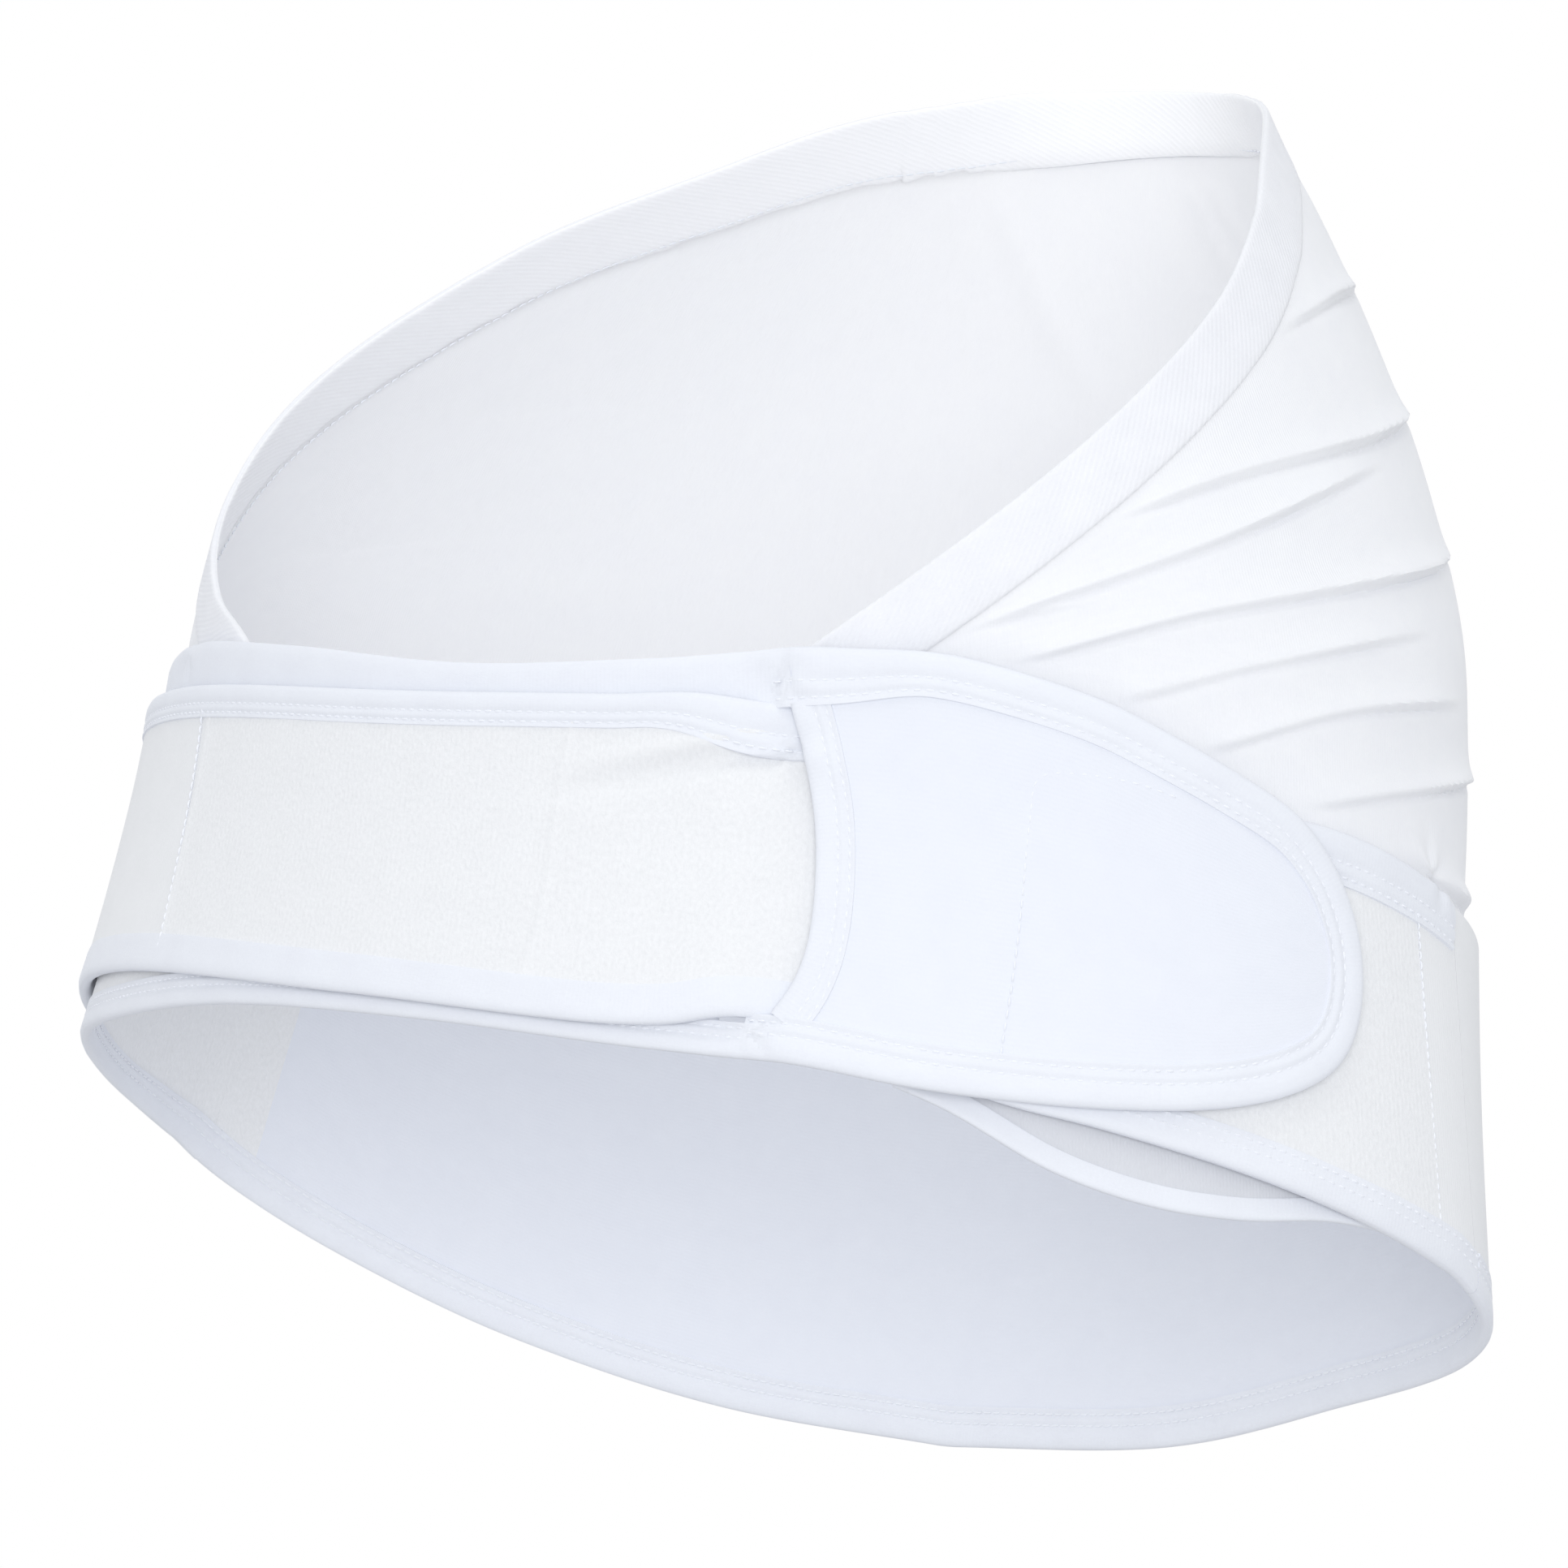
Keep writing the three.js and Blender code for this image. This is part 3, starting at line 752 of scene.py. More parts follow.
def thread(name, rows, pitch=STITCH_PITCH):
    """Rows of stitches as one piece; a row is its path's angles and heights and its level."""
    reach = np.array([-1.0, -0.72, 0.0, 0.72, 1.0])
    girth = np.array([0.3, 0.9, 1.0, 0.9, 0.3])
    dive = np.array([-1.1, -0.35, 0.0, -0.35, -1.1])
    turns = np.radians(np.arange(6) * 60)
    verts = []
    for angle, z, level in rows:
        angle, z = evenly(angle, z, pitch)
        out = surface_frame(angle, z)[2]
        centre = crumple(place(angle, z, level(angle)), out)
        ahead = unit(np.gradient(centre, axis=0))
        side = unit(np.cross(out, ahead))
        line = centre[:, None] + ahead[:, None] * (reach * STITCH_LENGTH / 2)[None, :, None]
        line = line + out[:, None] * (dive * STITCH_RADIUS)[None, :, None]
        ring = side[:, None] * np.cos(turns)[None, :, None]
        ring = ring + out[:, None] * np.sin(turns)[None, :, None]
        size = (girth * STITCH_RADIUS)[None, :, None, None]
        verts.append((line[:, :, None] + ring[:, None] * size).reshape(-1, 3))
    verts = np.concatenate(verts)
    count = len(turns)
    block = len(reach) * count
    base = np.arange(block).reshape(len(reach), count)
    following = np.roll(base, -1, axis=1)
    quads = np.stack([base[:-1], following[:-1], following[1:], base[1:]], -1).reshape(-1, 4)
    starts = np.arange(0, len(verts), block)
    faces = (quads[None] + starts[:, None, None]).reshape(-1, 4).tolist()
    faces += (base[0][::-1][None] + starts[:, None]).tolist()
    faces += (base[-1][None] + starts[:, None]).tolist()
    return new_object(name, verts, faces, THREAD, verts, tidy=False)


def twin_rows(angle, z, width, level, edge, wall=TAPE_WALL, inside=False):
    """Both stitch rows of a tape, on its outer face or on its inner one."""
    sign = -1 if inside else 1
    lift = sign * ROW_HEIGHT * wall / 2
    return [
        (*row_path(angle, z, width, edge, share), lambda a: level(a) + lift)
        for share in (INNER_ROW, OUTER_ROW)
    ]


# Waistband round the top rim, folded over its elastic
BAND_FROM = 24
BAND_TO = 334
rim_angles = steps(BAND_FROM, BAND_TO, 0.7)
band_angles, band_z = inset(rim_angles, rim_top(rim_angles), -BAND_HEIGHT / 2)
BAND_REACH = 16

# The band reads wider inside the far rim, where its seam lies lower between these angles
FAR_EXTRA = 3.4
FAR_RIM = (150, 215, 300, 325)


def far_extra(angle):
    rise = smoothstep(angle, FAR_RIM[0], FAR_RIM[1])
    return FAR_EXTRA * rise * (1 - smoothstep(angle, FAR_RIM[2], FAR_RIM[3]))


band_height = BAND_HEIGHT + far_extra(rim_angles)
band_z = band_z - far_extra(rim_angles) / 2


def lining_level(angle):
    return LINING_LEVEL + 0 * angle


def inner_level(angle):
    return INNER_LEVEL + 0 * angle


def outer_level(angle):
    return OUTER_LEVEL + 0 * angle


waistband = tape(
    "waistband_cloth", band_angles, band_z, band_height, lining_level, 1, ELASTIC, BAND_WALL,
    BAND_SECTION, BAND_REACH,
)
inward = np.zeros(len(waistband.data.polygons), int)
inward[:-2].reshape(-1, 2 * len(BAND_SECTION))[:, len(BAND_SECTION):-1] = 1
# The band's inner faces get the brighter copy of the elastic, painted light
waistband.data.materials.append(ELASTIC_INSIDE_PAINTED_LIGHT)
waistband.data.polygons.foreach_set("material_index", inward)
BAND_ROW = -0.42
BAND_ROW_DEPTH = 0.42
band_row = row_path(band_angles, band_z, band_height, 1, BAND_ROW)
band_stitches = thread("waistband_stitches", [
    (*band_row, lambda a: LINING_LEVEL - BAND_ROW_DEPTH * BAND_WALL + 0 * a),
])

# Hip panel, gathered at both sides where it is sewn to the belt
HIP_FROM = 36
HIP_TO = 320
HIP_LAP = 2.2
HIP_ROWS = 210
GATHER_HEIGHT = 4.2
GATHER_REACH = 9
FAR_FOLDS = 0.05
hip_rim = inset_height(rim_top, 29, 329, -BAND_HEIGHT + HIP_LAP)


def hip_head(angle):
    return hip_rim(angle) - far_extra(angle)


# How far a fold's line runs on before and behind its ends, in degrees
RUN_IN = 10
RUN_OUT = 30
RUN_OUT_SLOPE = 0.6


def gather_line(fold):
    """Height of a fold's line, which runs on past both of its ends and levels out behind."""
    angles = np.array([fold[0], fold[2], fold[4]])
    heights = np.array([fold[1], fold[3], fold[5]]) * BACK_RISE
    slopes = np.diff(heights) / np.diff(angles)
    first = (angles[0] - RUN_IN, heights[0] - slopes[0] * RUN_IN)
    last = (angles[-1] + RUN_OUT, heights[-1] + RUN_OUT_SLOPE * slopes[-1] * RUN_OUT)
    return smooth_curve([first[0], *angles, last[0]], [first[1], *heights, last[1]])


gather_lines = [gather_line(fold) for fold in GATHERS]

# A fold's start, end and growth as shares of its run, and the share of its height it starts with
FOLD_START = (-0.06, 0.12)
FOLD_END = (0.65, 1.15)
FOLD_GROWTH = (0.3, 0.9)
FOLD_FIRST = 0.38

# Millimetres in a degree at the back, and how wide the soft creases are there
CREASE_SPAN = 2.2
CREASE_WIDTH = 3.2


def fold_profile(away):
    """Height of a pinched fold across its line, a sharp crease below and gentle above."""
    above = np.exp(-np.abs(away / 3.4) ** 1.4)
    below = np.exp(-((away / 0.8) ** 2)) - 0.42 * np.exp(-(((away + 1.5) / 0.8) ** 2))
    return np.where(away > 0, above, below)


def drawn_creases(angle, z):
    """Relief of the soft creases at the back, which fade towards both of their ends."""
    lift = 0
    for start_angle, start_z, end_angle, end_z, height in CREASES:
        share = (z - start_z) / (end_z - start_z)
        middle = start_angle + (end_angle - start_angle) * np.clip(share, 0, 1)
        across = (angle - middle) * CREASE_SPAN
        fade = smoothstep(share, -0.05, 0.2) * (1 - smoothstep(share, 0.6, 1.1))
        lift = lift - height * fade * np.exp(-((across / CREASE_WIDTH) ** 2))
    return lift


def hip_relief(angle, z):
    side = np.where(angle > 180, 360 - angle, angle)
    near = np.where(angle > 180, FAR_FOLDS, 1)
    clear = smoothstep(z - belt_top(angle), 1, GATHER_REACH)
    clear = clear * smoothstep(hip_head(angle) - z, 1.5, GATHER_REACH)
    lift = 0
    for fold, line in zip(GATHERS, gather_lines):
        run = (side - fold[0]) / (fold[4] - fold[0])
        fade = smoothstep(run, *FOLD_START) * (1 - smoothstep(run, *FOLD_END))
        fade = fade * (FOLD_FIRST + (1 - FOLD_FIRST) * smoothstep(run, *FOLD_GROWTH))
        lift = lift + GATHER_HEIGHT * fold[6] * fade * fold_profile(z - line(side))
    soft = 0.25 * np.sin(z / 9 + side / 13) * np.sin(side / 7 - z / 31)
    return (lift * near + soft + drawn_creases(angle, z)) * clear


FOLDS_TO = 124
hip_angles = np.concatenate([
    steps(HIP_FROM, FOLDS_TO, 0.6)[:-1],
    steps(FOLDS_TO, 360 - FOLDS_TO, 1.8)[:-1],
    steps(360 - FOLDS_TO, HIP_TO, 3.5),
])
# The panel's inner face gets the brighter copy of the stretch fabric, painted light inside the belt
hip_panel = cloth(
    "hip_panel_cloth", hip_angles, lambda a: belt_top(a) - TUCK, hip_head, HIP_ROWS,
    STRETCH_WALL, lining_level, STRETCH, hip_relief, STRETCH_INSIDE_PAINTED_LIGHT,
)

# Lower back panel and its hem
SEAM_GAP = 0.05
BACK_FROM = SIDE_SEAM + SEAM_GAP
BACK_TO = 360 - BACK_FROM
UNDER_TAPE = 2.5


def slack(angle, z):
    """Slow unevenness of cloth that lies flat."""
    return 0.11 * np.sin(angle / 9.7 + z / 23) + 0.07 * np.sin(z / 11 - angle / 5.3)


back_foot = inset_height(belt_hem, BACK_FROM - 6, BACK_TO + 6, HEM_TAPE - UNDER_TAPE)
back_angles = steps(BACK_FROM, BACK_TO, 0.9)
BACK_ROWS = 48
LOOP_REACH = 360 - 104
back_panel = cloth(
    "back_panel_cloth", back_angles, back_foot, belt_top, BACK_ROWS,
    PANEL_WALL, inner_level, BACKING, slack, SMOOTH,
)
patch(back_panel, back_angles, BACK_ROWS, LOOP, LOOP_REACH, 360, inside=True)
back_z = inset_height(belt_hem, BACK_FROM - 6, BACK_TO + 6, HEM_TAPE / 2)
back_line = steps(BACK_FROM, BACK_TO, 0.7)
back_path = (back_line, back_z(back_line))
back_hem = tape("back_hem_tape", *back_path, HEM_TAPE, inner_level, -1, TAPE)
back_stitches = thread("back_hem_stitches", [
    *twin_rows(*back_path, HEM_TAPE, inner_level, -1),
    *twin_rows(*back_path, HEM_TAPE, inner_level, -1, inside=True),
])

# Angles between which each edge's path is laid, a little past the cloth at both ends
WING_SPAN = (-110, 45)
STRAP_SPAN = (-88, 98)
FLAP_SPAN = (36, 97)

# Left wing from its side seam to the front edge of the slot
WING_FROM = -BACK_FROM
WING_TO = SLOT_FRONT - arc(SLOT_ANGLE, SLOT_TAPE - UNDER_TAPE)
wing_foot = inset_height(belt_hem, *WING_SPAN, WING_HEM_TAPE - UNDER_TAPE)
wing_head = inset_height(belt_top, *WING_SPAN, -WING_TOP_TAPE + UNDER_TAPE)
left_wing = cloth(
    "left_wing_cloth", steps(WING_FROM, WING_TO, 0.9), wing_foot, wing_head, 44,
    PANEL_WALL, inner_level, LOOP, slack,
)
WING_TOP_WIDE = 12
wing_line = steps(WING_FROM, SLOT_FRONT + 4, 0.6)
wing_top_path = (wing_line, inset_height(belt_top, *WING_SPAN, -WING_TOP_WIDE / 2)(wing_line))
SEAM_BLEND = 22
wing_seam_near = 1 - smoothstep(wing_line, WING_FROM, WING_FROM + SEAM_BLEND)
wing_hem_width = WING_HEM_TAPE + (HEM_TAPE - WING_HEM_TAPE) * wing_seam_near
wing_hem_z = inset_height(belt_hem, *WING_SPAN, WING_HEM_TAPE / 2)(wing_line)
wing_hem_path = (wing_line, wing_hem_z + (wing_hem_width - WING_HEM_TAPE) / 2)
wing_top = tape(
    "wing_top_tape", *wing_top_path, WING_TOP_WIDE, wing_level, 1, TAPE, section=PLAIN_SECTION
)
wing_hem = tape("wing_hem_tape", *wing_hem_path, wing_hem_width, wing_level, -1, TAPE)
wing_stitches = thread("wing_stitches", [
    *twin_rows(*wing_hem_path, wing_hem_width, wing_level, -1),
    *twin_rows(*wing_hem_path, wing_hem_width, wing_level, -1, inside=True),
])


def slot_tape(name, angle, z, level, edge):
    """Tape up an edge of the slot, its free edge towards the slot."""
    return tape(name, angle, z, SLOT_TAPE, level, edge, TAPE, SLOT_WALL)


# Free edge of the tongue along the slot, which bows towards its middle: height, angle
SLOT_BOW = [
    (-12, 26.6),
    (-5, 28.2),
    (3, 30.0),
    (12, 31.0),
    (24, 31.3),
    (38, 31.0),
    (50, 30.0),
    (62, 28.6),
    (70, 27.8),
]
slot_bow = column(SLOT_BOW, 1)
front_middle = SLOT_FRONT - arc(SLOT_ANGLE, SLOT_TAPE / 2)
front_z = steps(wing_foot(front_middle), wing_head(front_middle), 1.6)
slot_front = slot_tape("slot_front_tape", front_middle + 0 * front_z, front_z, inner_level, -1)

# Tongue past the slot, taped round its edge
outline = np.array([(angle, rise * BELT_RISE) for angle, rise in TONGUE_OUTLINE])
outline_run = path_length(outline[:, 0], outline[:, 1])
even_run = np.linspace(0, outline_run[-1], 240)
edge_angle = smooth_curve(outline_run, outline[:, 0])(even_run)
edge_z = smooth_curve(outline_run, outline[:, 1])(even_run)
edge_angle[:2] = SLOT_REAR
edge_angle[-2:] = SLOT_REAR
JOIN_FROM = SLOT_FRONT + 2
join = steps(JOIN_FROM, SLOT_REAR - 0.4, 0.4)
joined_angle = np.concatenate([join, edge_angle, join[::-1]])
joined_z = np.concatenate([belt_top(join), edge_z, belt_hem(join)[::-1]])


def rounded(values):
    """Values averaged over nine neighbours, with the four at both ends as they are."""
    return np.concatenate([values[:4], np.convolve(values, np.ones(9) / 9, "valid"), values[-4:]])


# Angles between which the tongue's top tape narrows from the wing's width to its own
NARROWING = (29, 40)
rounded_angle = rounded(joined_angle)
rounded_z = rounded(joined_z)
first_half = np.arange(len(rounded_z)) < len(rounded_z) / 2
still_wide = first_half * (1 - smoothstep(rounded_angle, *NARROWING))
tongue_width = TONGUE_TAPE + (WING_TOP_WIDE - TONGUE_TAPE) * still_wide
tongue_path = inset(rounded_angle, rounded_z, -tongue_width / 2)
TONGUE_TAPER = 7
tongue_run = path_length(*tongue_path)
tongue_ends = np.minimum(tongue_run, tongue_run[-1] - tongue_run)
tongue_wall = TAPE_WALL * (0.90 + 0.16 * smoothstep(tongue_ends, 0, TONGUE_TAPER))
tongue_tape = tape("tongue_tape", *tongue_path, tongue_width, wing_level, 1, TAPE, tongue_wall)
cut_angle, cut_z = inset(edge_angle, edge_z, -TONGUE_TAPE + UNDER_TAPE)
tip = int(np.argmax(cut_angle))
panel_from = SLOT_REAR + arc(SLOT_ANGLE, SLOT_TAPE - UNDER_TAPE)


def tongue_side(angle, z):
    """Even points along one side of the tongue, from the slot to its tip."""
    kept = angle > panel_from + 0.3
    angle = np.concatenate([[panel_from], angle[kept]])
    z = np.concatenate([[z[kept][0]], z[kept]])
    run = path_length(angle, z)
    at = np.linspace(0, run[-1], 110)
    return np.interp(at, run, angle), np.interp(at, run, z)


head_angle, head_z = tongue_side(cut_angle[:tip + 1], cut_z[:tip + 1])
foot_angle, foot_z = tongue_side(cut_angle[:tip - 1:-1], cut_z[:tip - 1:-1])
share = np.linspace(0, 1, 46)[None, :]
tongue_angle = foot_angle[:, None] * (1 - share) + head_angle[:, None] * share
tongue_z = foot_z[:, None] * (1 - share) + head_z[:, None] * share
BOW_REACH = 44
bowed = 1 - smoothstep(tongue_angle, panel_from, BOW_REACH)
tongue_angle = tongue_angle + bowed * (slot_bow(tongue_z) - SLOT_REAR)


# Angles and height of the step where the hook tape is sewn behind the tongue
HOOK_EDGE = (46.6, 47.6)
HOOK_STEP = 0.08


def tongue_relief(angle, z):
    return slack(angle, z) + HOOK_STEP * smoothstep(angle, *HOOK_EDGE)


tongue = cloth_grid(
    "tongue_cloth", tongue_angle, tongue_z, PANEL_WALL, outer_level(tongue_angle),
    SMOOTH, tongue_relief,
)
REAR_LAP = 1.5
REAR_FOOT = belt_hem(SLOT_REAR) + TONGUE_TAPE - REAR_LAP
REAR_HEAD = belt_top(SLOT_REAR) - WING_TOP_WIDE + REAR_LAP
rear_z = steps(REAR_FOOT, REAR_HEAD, 1.6)
rear_path = (slot_bow(rear_z) + arc(SLOT_ANGLE, SLOT_TAPE / 2), rear_z)
slot_rear = slot_tape("slot_rear_tape", *rear_path, outer_level, 1)

# Outline of the hook tape sewn behind the tongue: angle, height
HOOK_SEAM = [
    (45.7, -6),
    (46.6, 12),
    (47.1, 26),
    (47.6, 40),
    (48.2, 49),
    (51, 51),
    (56, 50.5),
    (60, 48.5),
]
HOOK_LIFT = 0.12
hook_run = steps(0, len(HOOK_SEAM) - 1, 0.1)
hook_row = [
    smooth_curve(range(len(HOOK_SEAM)), [point[axis] for point in HOOK_SEAM])(hook_run)
    for axis in (0, 1)
]
tongue_stitches = thread("tongue_stitches", [
    *twin_rows(*tongue_path, tongue_width, wing_level, 1, TAPE_WALL * 1.05),
    *twin_rows(*rear_path, SLOT_TAPE, outer_level, 1, SLOT_WALL),
    (*hook_row, lambda a: OUTER_LEVEL + PANEL_WALL / 2 + HOOK_LIFT + 0 * a),
])

# Right wing, under the tongue and out through the slot as the strap
STRAP_ROWS = 46
LOOP_END = 88
strap_foot = inset_height(strap_hem, *STRAP_SPAN, STRAP_TAPE - UNDER_TAPE)
strap_head = inset_height(strap_top, *STRAP_SPAN, -STRAP_TAPE + UNDER_TAPE)


# Pleats of the strap towards the slot's top corner: depth, height at 12 degrees, slope and width
STRAP_PLEATS = [
    (-2.0, 39, 0.75, 2.6),
    (0.7, 44.5, 0.60, 2.0),
]


def end_relief(angle, z):
    """Slack of the strap with the welt of its end's seam."""
    return slack(angle, z) + 0.30 * np.exp(-(((angle - STRAP_SEAM) / 0.5) ** 2))


def strap_relief(angle, z):
    """The strap with a faint crease down it and its pleats."""
    bend = 9.6 + z / 26 + 0.35 * np.sin(z / 9)
    crease = 0.22 * np.exp(-(((angle - bend) / 0.35) ** 2))
    pleats = 0
    for depth, height, slope, wide in STRAP_PLEATS:
        pleats = pleats + depth * np.exp(-(((z - height - (angle - 12) * slope) / wide) ** 2))
    reach = smoothstep(angle, 7, 22) * (1 - smoothstep(angle, 27, 31))
    return end_relief(angle, z) + crease + pleats * reach


STRAP_TO = BACK_FROM - 2 * SEAM_GAP
strap_angles = np.concatenate([
    steps(STRAP_SEAM, 8, 0.6)[:-1],
    steps(8, 14, 0.2)[:-1],
    steps(14, STRAP_TO, 0.55),
])
right_wing = cloth(
    "right_wing_cloth", strap_angles, strap_foot, strap_head, STRAP_ROWS,
    PANEL_WALL, strap_level, LOOP, strap_relief, SMOOTH,
)
patch(right_wing, strap_angles, STRAP_ROWS, BACKING, LOOP_END, 180)
end_piece = cloth(
    "strap_end_cloth", steps(STRAP_END, STRAP_SEAM, 0.7), strap_foot, strap_head, STRAP_ROWS,
    PANEL_WALL, outer_level, BACKING, end_relief,
)
strap_line = steps(STRAP_END, STRAP_TO, 0.55)
STRAP_HEM_WIDE = 8
SLOT_GATHER = 4
GATHER_FROM = 17
GATHER_TO = 27
strap_top_width = STRAP_TAPE + SLOT_GATHER * smoothstep(strap_line, GATHER_FROM, GATHER_TO)
strap_top_edge = inset_height(strap_top, *STRAP_SPAN, -STRAP_TAPE / 2)(strap_line)
strap_top_path = (strap_line, strap_top_edge - (strap_top_width - STRAP_TAPE) / 2)
strap_seam_near = smoothstep(strap_line, SIDE_SEAM - SEAM_BLEND, SIDE_SEAM)
strap_hem_width = STRAP_HEM_WIDE + (HEM_TAPE - STRAP_HEM_WIDE) * strap_seam_near
strap_hem_z = inset_height(strap_hem, *STRAP_SPAN, STRAP_HEM_WIDE / 2)(strap_line)
strap_hem_path = (strap_line, strap_hem_z + (strap_hem_width - STRAP_HEM_WIDE) / 2)
strap_top_tape = tape("strap_top_tape", *strap_top_path, strap_top_width, strap_level, 1, TAPE)
strap_hem_tape = tape(
    "strap_hem_tape", *strap_hem_path, strap_hem_width, strap_level, -1, TAPE, section=PLAIN_SECTION
)
end_z = np.linspace(strap_foot(STRAP_SEAM), strap_head(STRAP_SEAM), 30)
end_seam = (STRAP_SEAM + np.linspace(0.2, -1.2, 30), end_z)
UNDER_TONGUE = 36
under_tongue = strap_line > UNDER_TONGUE
hem_rear_path = (strap_hem_path[0][under_tongue], strap_hem_path[1][under_tongue])
strap_stitches = thread("strap_stitches", [
    *twin_rows(*strap_top_path, strap_top_width, strap_level, 1),
    *twin_rows(*strap_hem_path, strap_hem_width, strap_level, -1, inside=True),
    *twin_rows(*hem_rear_path, strap_hem_width[under_tongue], strap_level, -1, TAPE_WALL * 1.12),
])
side_z = np.linspace(strap_foot(LOOP_END), strap_head(LOOP_END), 30)
END_LIFT = 0.32
SIDE_LIFT = 0.1
seam_stitches = thread("strap_seam_stitches", [
    (*end_seam, lambda a: OUTER_LEVEL + PANEL_WALL / 2 + END_LIFT + 0 * a),
    (LOOP_END + 0 * side_z, side_z, lambda a: INNER_LEVEL + PANEL_WALL / 2 + SIDE_LIFT + 0 * a),
], pitch=2.0)

# Inner flap behind the right wing
FLAP_FROM = 38
flap_foot = inset_height(flap_hem, *FLAP_SPAN, FLAP_TAPE - UNDER_TAPE)


def flap_level(angle):
    return FLAP_LEVEL + 0 * angle


# The flap's cloth has the greyer copy, painted shade where the wing shades it
inner_flap = cloth(
    "inner_flap_cloth", steps(FLAP_FROM, STRAP_TO, 0.8), flap_foot,
    lambda a: flap_hem(a) + FLAP_REACH, 24, FLAP_WALL, flap_level, FLAP_PAINTED_SHADE,
)
flap_line = steps(FLAP_FROM, STRAP_TO, 0.7)
flap_path = (flap_line, inset_height(flap_hem, *FLAP_SPAN, FLAP_TAPE / 2)(flap_line))
flap_tape = tape(
    "flap_tape", *flap_path, FLAP_TAPE, flap_level, -1, TAPE, FLAP_TAPE_WALL, PLAIN_SECTION
)
flap_stitches = thread("flap_stitches", [
    *twin_rows(*flap_path, FLAP_TAPE, flap_level, -1, FLAP_TAPE_WALL, inside=True),
])

PIECES = [
    (waistband, "waistband", "elastic"),
    (band_stitches, None, "binding"),
    (hip_panel, "hip_panel", "stretch_fabric"),
    (back_panel, "back_panel", "smooth_fabric"),
    (back_hem, "back_hem_binding", "binding"),
    (back_stitches, None, "binding"),
    (left_wing, "left_wing", "loop_fabric"),
    (wing_top, "wing_top_binding", "binding"),
    (wing_hem, "wing_hem_binding", "binding"),
    (wing_stitches, None, "binding"),
    (slot_front, "slot_front_binding", "binding"),
    (slot_rear, "slot_rear_binding", "binding"),
    (tongue, "tongue", "smooth_fabric"),
    (tongue_tape, "tongue_binding", "binding"),
    (tongue_stitches, None, "binding"),
    (right_wing, "right_wing", "loop_fabric"),
    (end_piece, "strap_end_piece", "smooth_fabric"),
    (strap_top_tape, "strap_top_binding", "binding"),
    (strap_hem_tape, "strap_hem_binding", "binding"),
    (strap_stitches, None, "binding"),
    (seam_stitches, None, "binding"),
    (inner_flap, "inner_flap", "stretch_fabric"),
    (flap_tape, "flap_binding", "binding"),
    (flap_stitches, None, "binding"),
]
for piece, node, slot in PIECES:
    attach(piece, "root")
    if node:
        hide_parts(node)

# Camera at the photograph's angle, slightly below the belt and rolled
VIEW_TURN = math.radians(37.5)
VIEW_RISE = math.radians(-4)
VIEW_ROLL = math.radians(-6.1)
VIEW_DISTANCE = 1.4
VIEW_SHIFT = -0.006
VIEW_HEIGHT = 0.053
camera = bpy.data.cameras.new("camera")
camera.lens = 150
camera.sensor_width = 36
camera_object = bpy.data.objects.new("camera", camera)
bpy.context.scene.collection.objects.link(camera_object)
away = Vector((
    math.sin(VIEW_TURN) * math.cos(VIEW_RISE),
    -math.cos(VIEW_TURN) * math.cos(VIEW_RISE),
    math.sin(VIEW_RISE),
))
right = Vector((math.cos(VIEW_TURN), math.sin(VIEW_TURN), 0))
up = away.cross(right)
x_axis = right * math.cos(VIEW_ROLL) - up * math.sin(VIEW_ROLL)
y_axis = right * math.sin(VIEW_ROLL) + up * math.cos(VIEW_ROLL)
location = right * VIEW_SHIFT + Vector((0, 0, VIEW_HEIGHT)) + away * VIEW_DISTANCE
camera_object.matrix_world = Matrix((
    (x_axis.x, y_axis.x, away.x, location.x),
    (x_axis.y, y_axis.y, away.y, location.y),
    (x_axis.z, y_axis.z, away.z, location.z),
    (0, 0, 0, 1),
))
bpy.context.scene.camera = camera_object

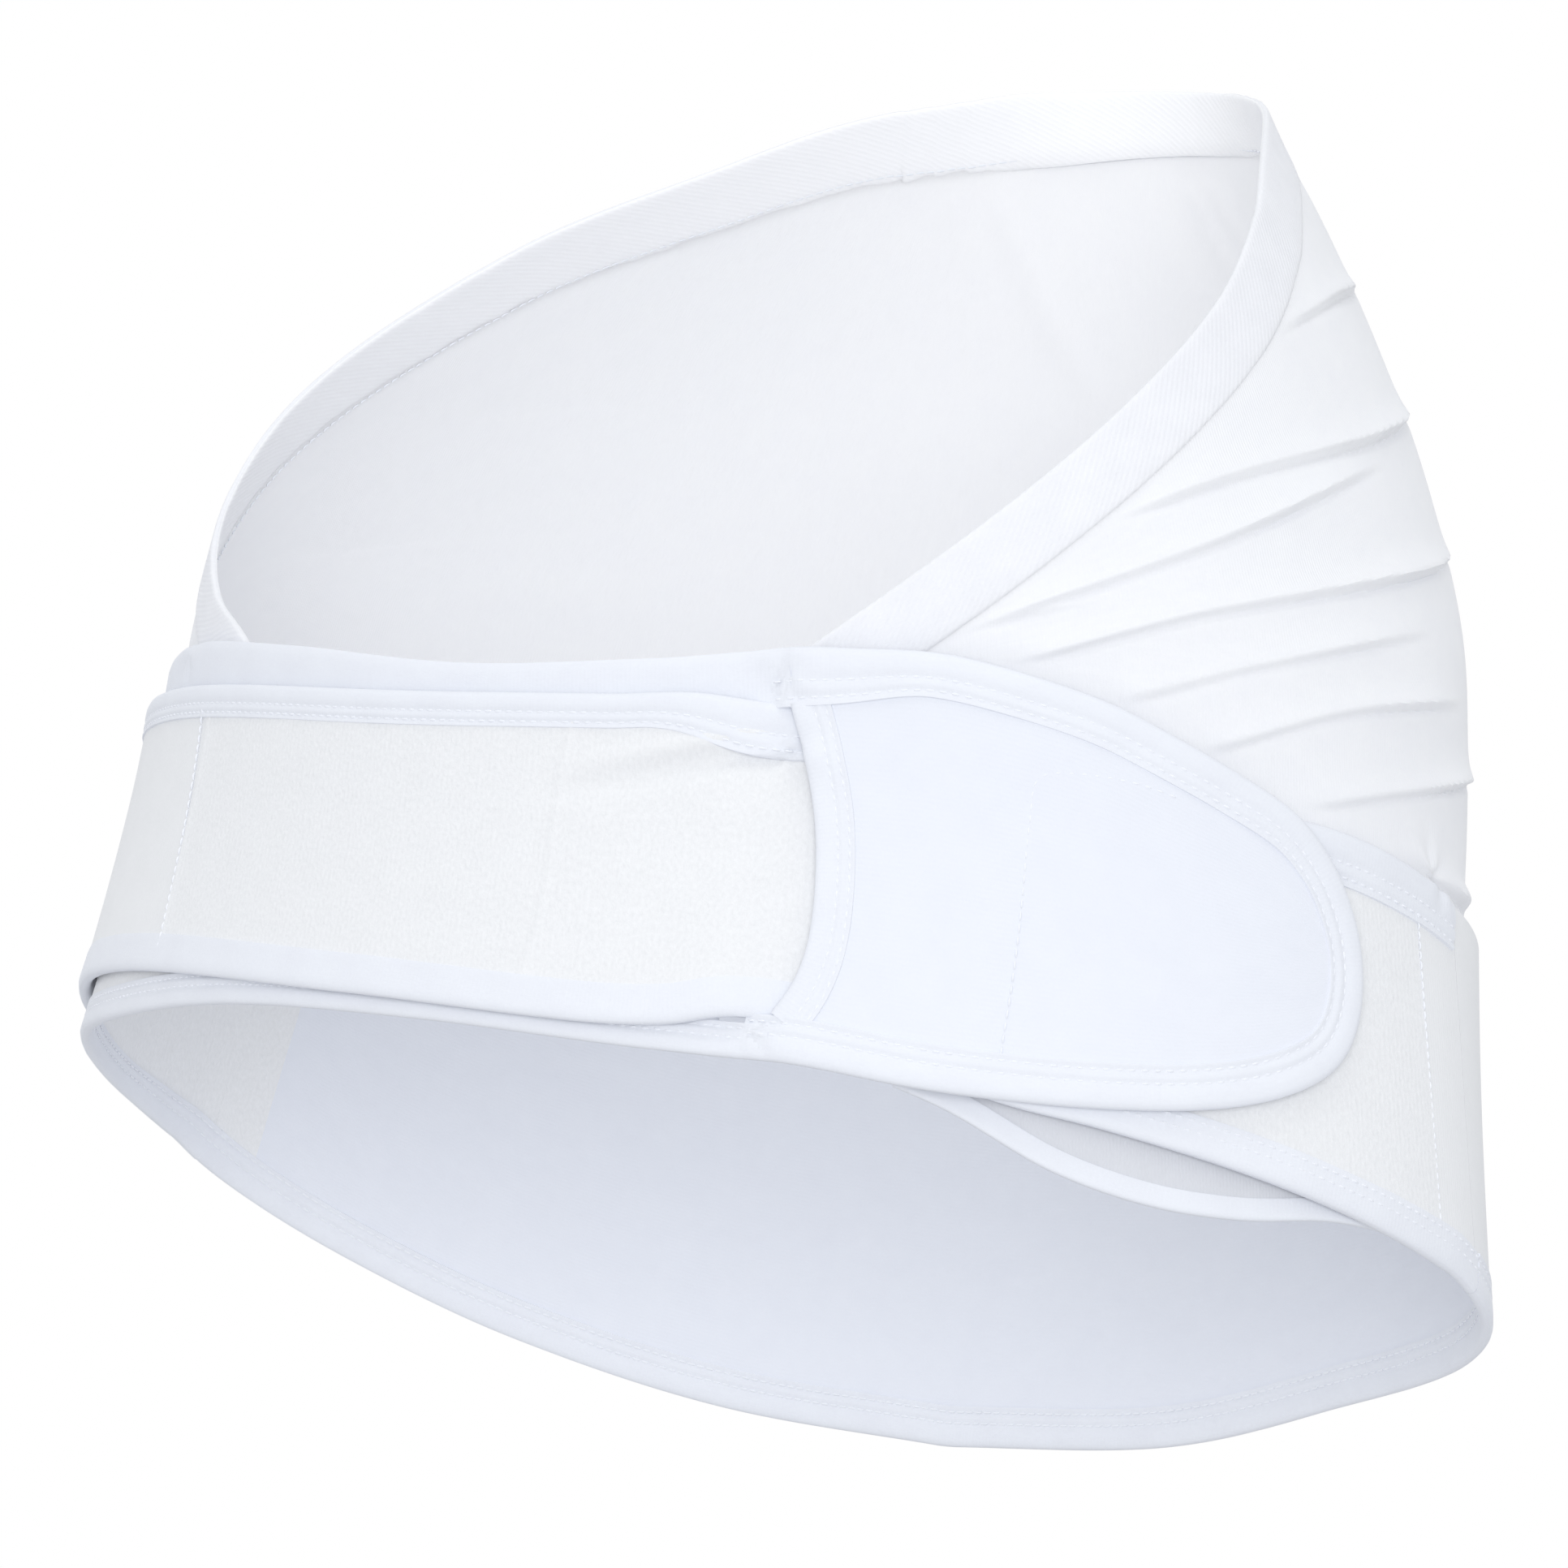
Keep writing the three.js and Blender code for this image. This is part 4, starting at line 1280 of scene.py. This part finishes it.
# Soft studio light, white surroundings and a pale floor well below
FILL = 0.82
world = bpy.data.worlds.new("studio")
world.use_nodes = True
sky_nodes = world.node_tree.nodes
sky_links = world.node_tree.links
backdrop = sky_nodes["Background"]
backdrop.inputs["Color"].default_value = (1.0, 1.0, 1.0, 1.0)
backdrop.inputs["Strength"].default_value = 1.0
fill = sky_nodes.new("ShaderNodeBackground")
fill.inputs["Color"].default_value = (0.97, 0.985, 1.0, 1.0)
fill.inputs["Strength"].default_value = FILL
seen = sky_nodes.new("ShaderNodeLightPath")
either = sky_nodes.new("ShaderNodeMixShader")
sky_links.new(seen.outputs["Is Camera Ray"], either.inputs["Fac"])
sky_links.new(fill.outputs["Background"], either.inputs[1])
sky_links.new(backdrop.outputs["Background"], either.inputs[2])
sky_links.new(either.outputs["Shader"], sky_nodes["World Output"].inputs["Surface"])
bpy.context.scene.world = world
bpy.context.scene.view_settings.view_transform = "Standard"


def soft_light(name, place_at, size, power):
    lamp = bpy.data.lights.new(name, "AREA")
    lamp.size = size
    lamp.energy = power
    lamp_object = bpy.data.objects.new(name, lamp)
    bpy.context.scene.collection.objects.link(lamp_object)
    lamp_object.location = place_at
    lamp_object.rotation_euler = (-Vector(place_at)).to_track_quat("-Z", "Y").to_euler()


# Lights: name, place and width in metres, power in watts
LIGHTS = [
    ("key_light", (1.8, -2.5, 0.12), 1.3, 28.0),
    ("top_light", (0.3, -0.8, 2.4), 1.2, 8.0),
    ("left_light", (-2.2, -1.8, 0.6), 1.2, 3.0),
]
for light in LIGHTS:
    soft_light(*light)

FLOOR_LEVEL = -0.7
FLOOR_HALF = 6
FLOOR_CORNERS = ((-1, -1), (1, -1), (1, 1), (-1, 1))
floor_mesh = bpy.data.meshes.new("floor")
floor_mesh.from_pydata(
    [(x * FLOOR_HALF, y * FLOOR_HALF, FLOOR_LEVEL) for x, y in FLOOR_CORNERS],
    [], [(0, 1, 2, 3)],
)
floor = bpy.data.objects.new("floor", floor_mesh)
bpy.context.scene.collection.objects.link(floor)
floor_paint = bpy.data.materials.new("floor_paint")
floor_paint.use_nodes = True
floor_skin = floor_paint.node_tree.nodes["Principled BSDF"]
floor_skin.inputs["Base Color"].default_value = (0.70, 0.70, 0.71, 1)
floor_skin.inputs["Roughness"].default_value = 0.9
floor_mesh.materials.append(floor_paint)
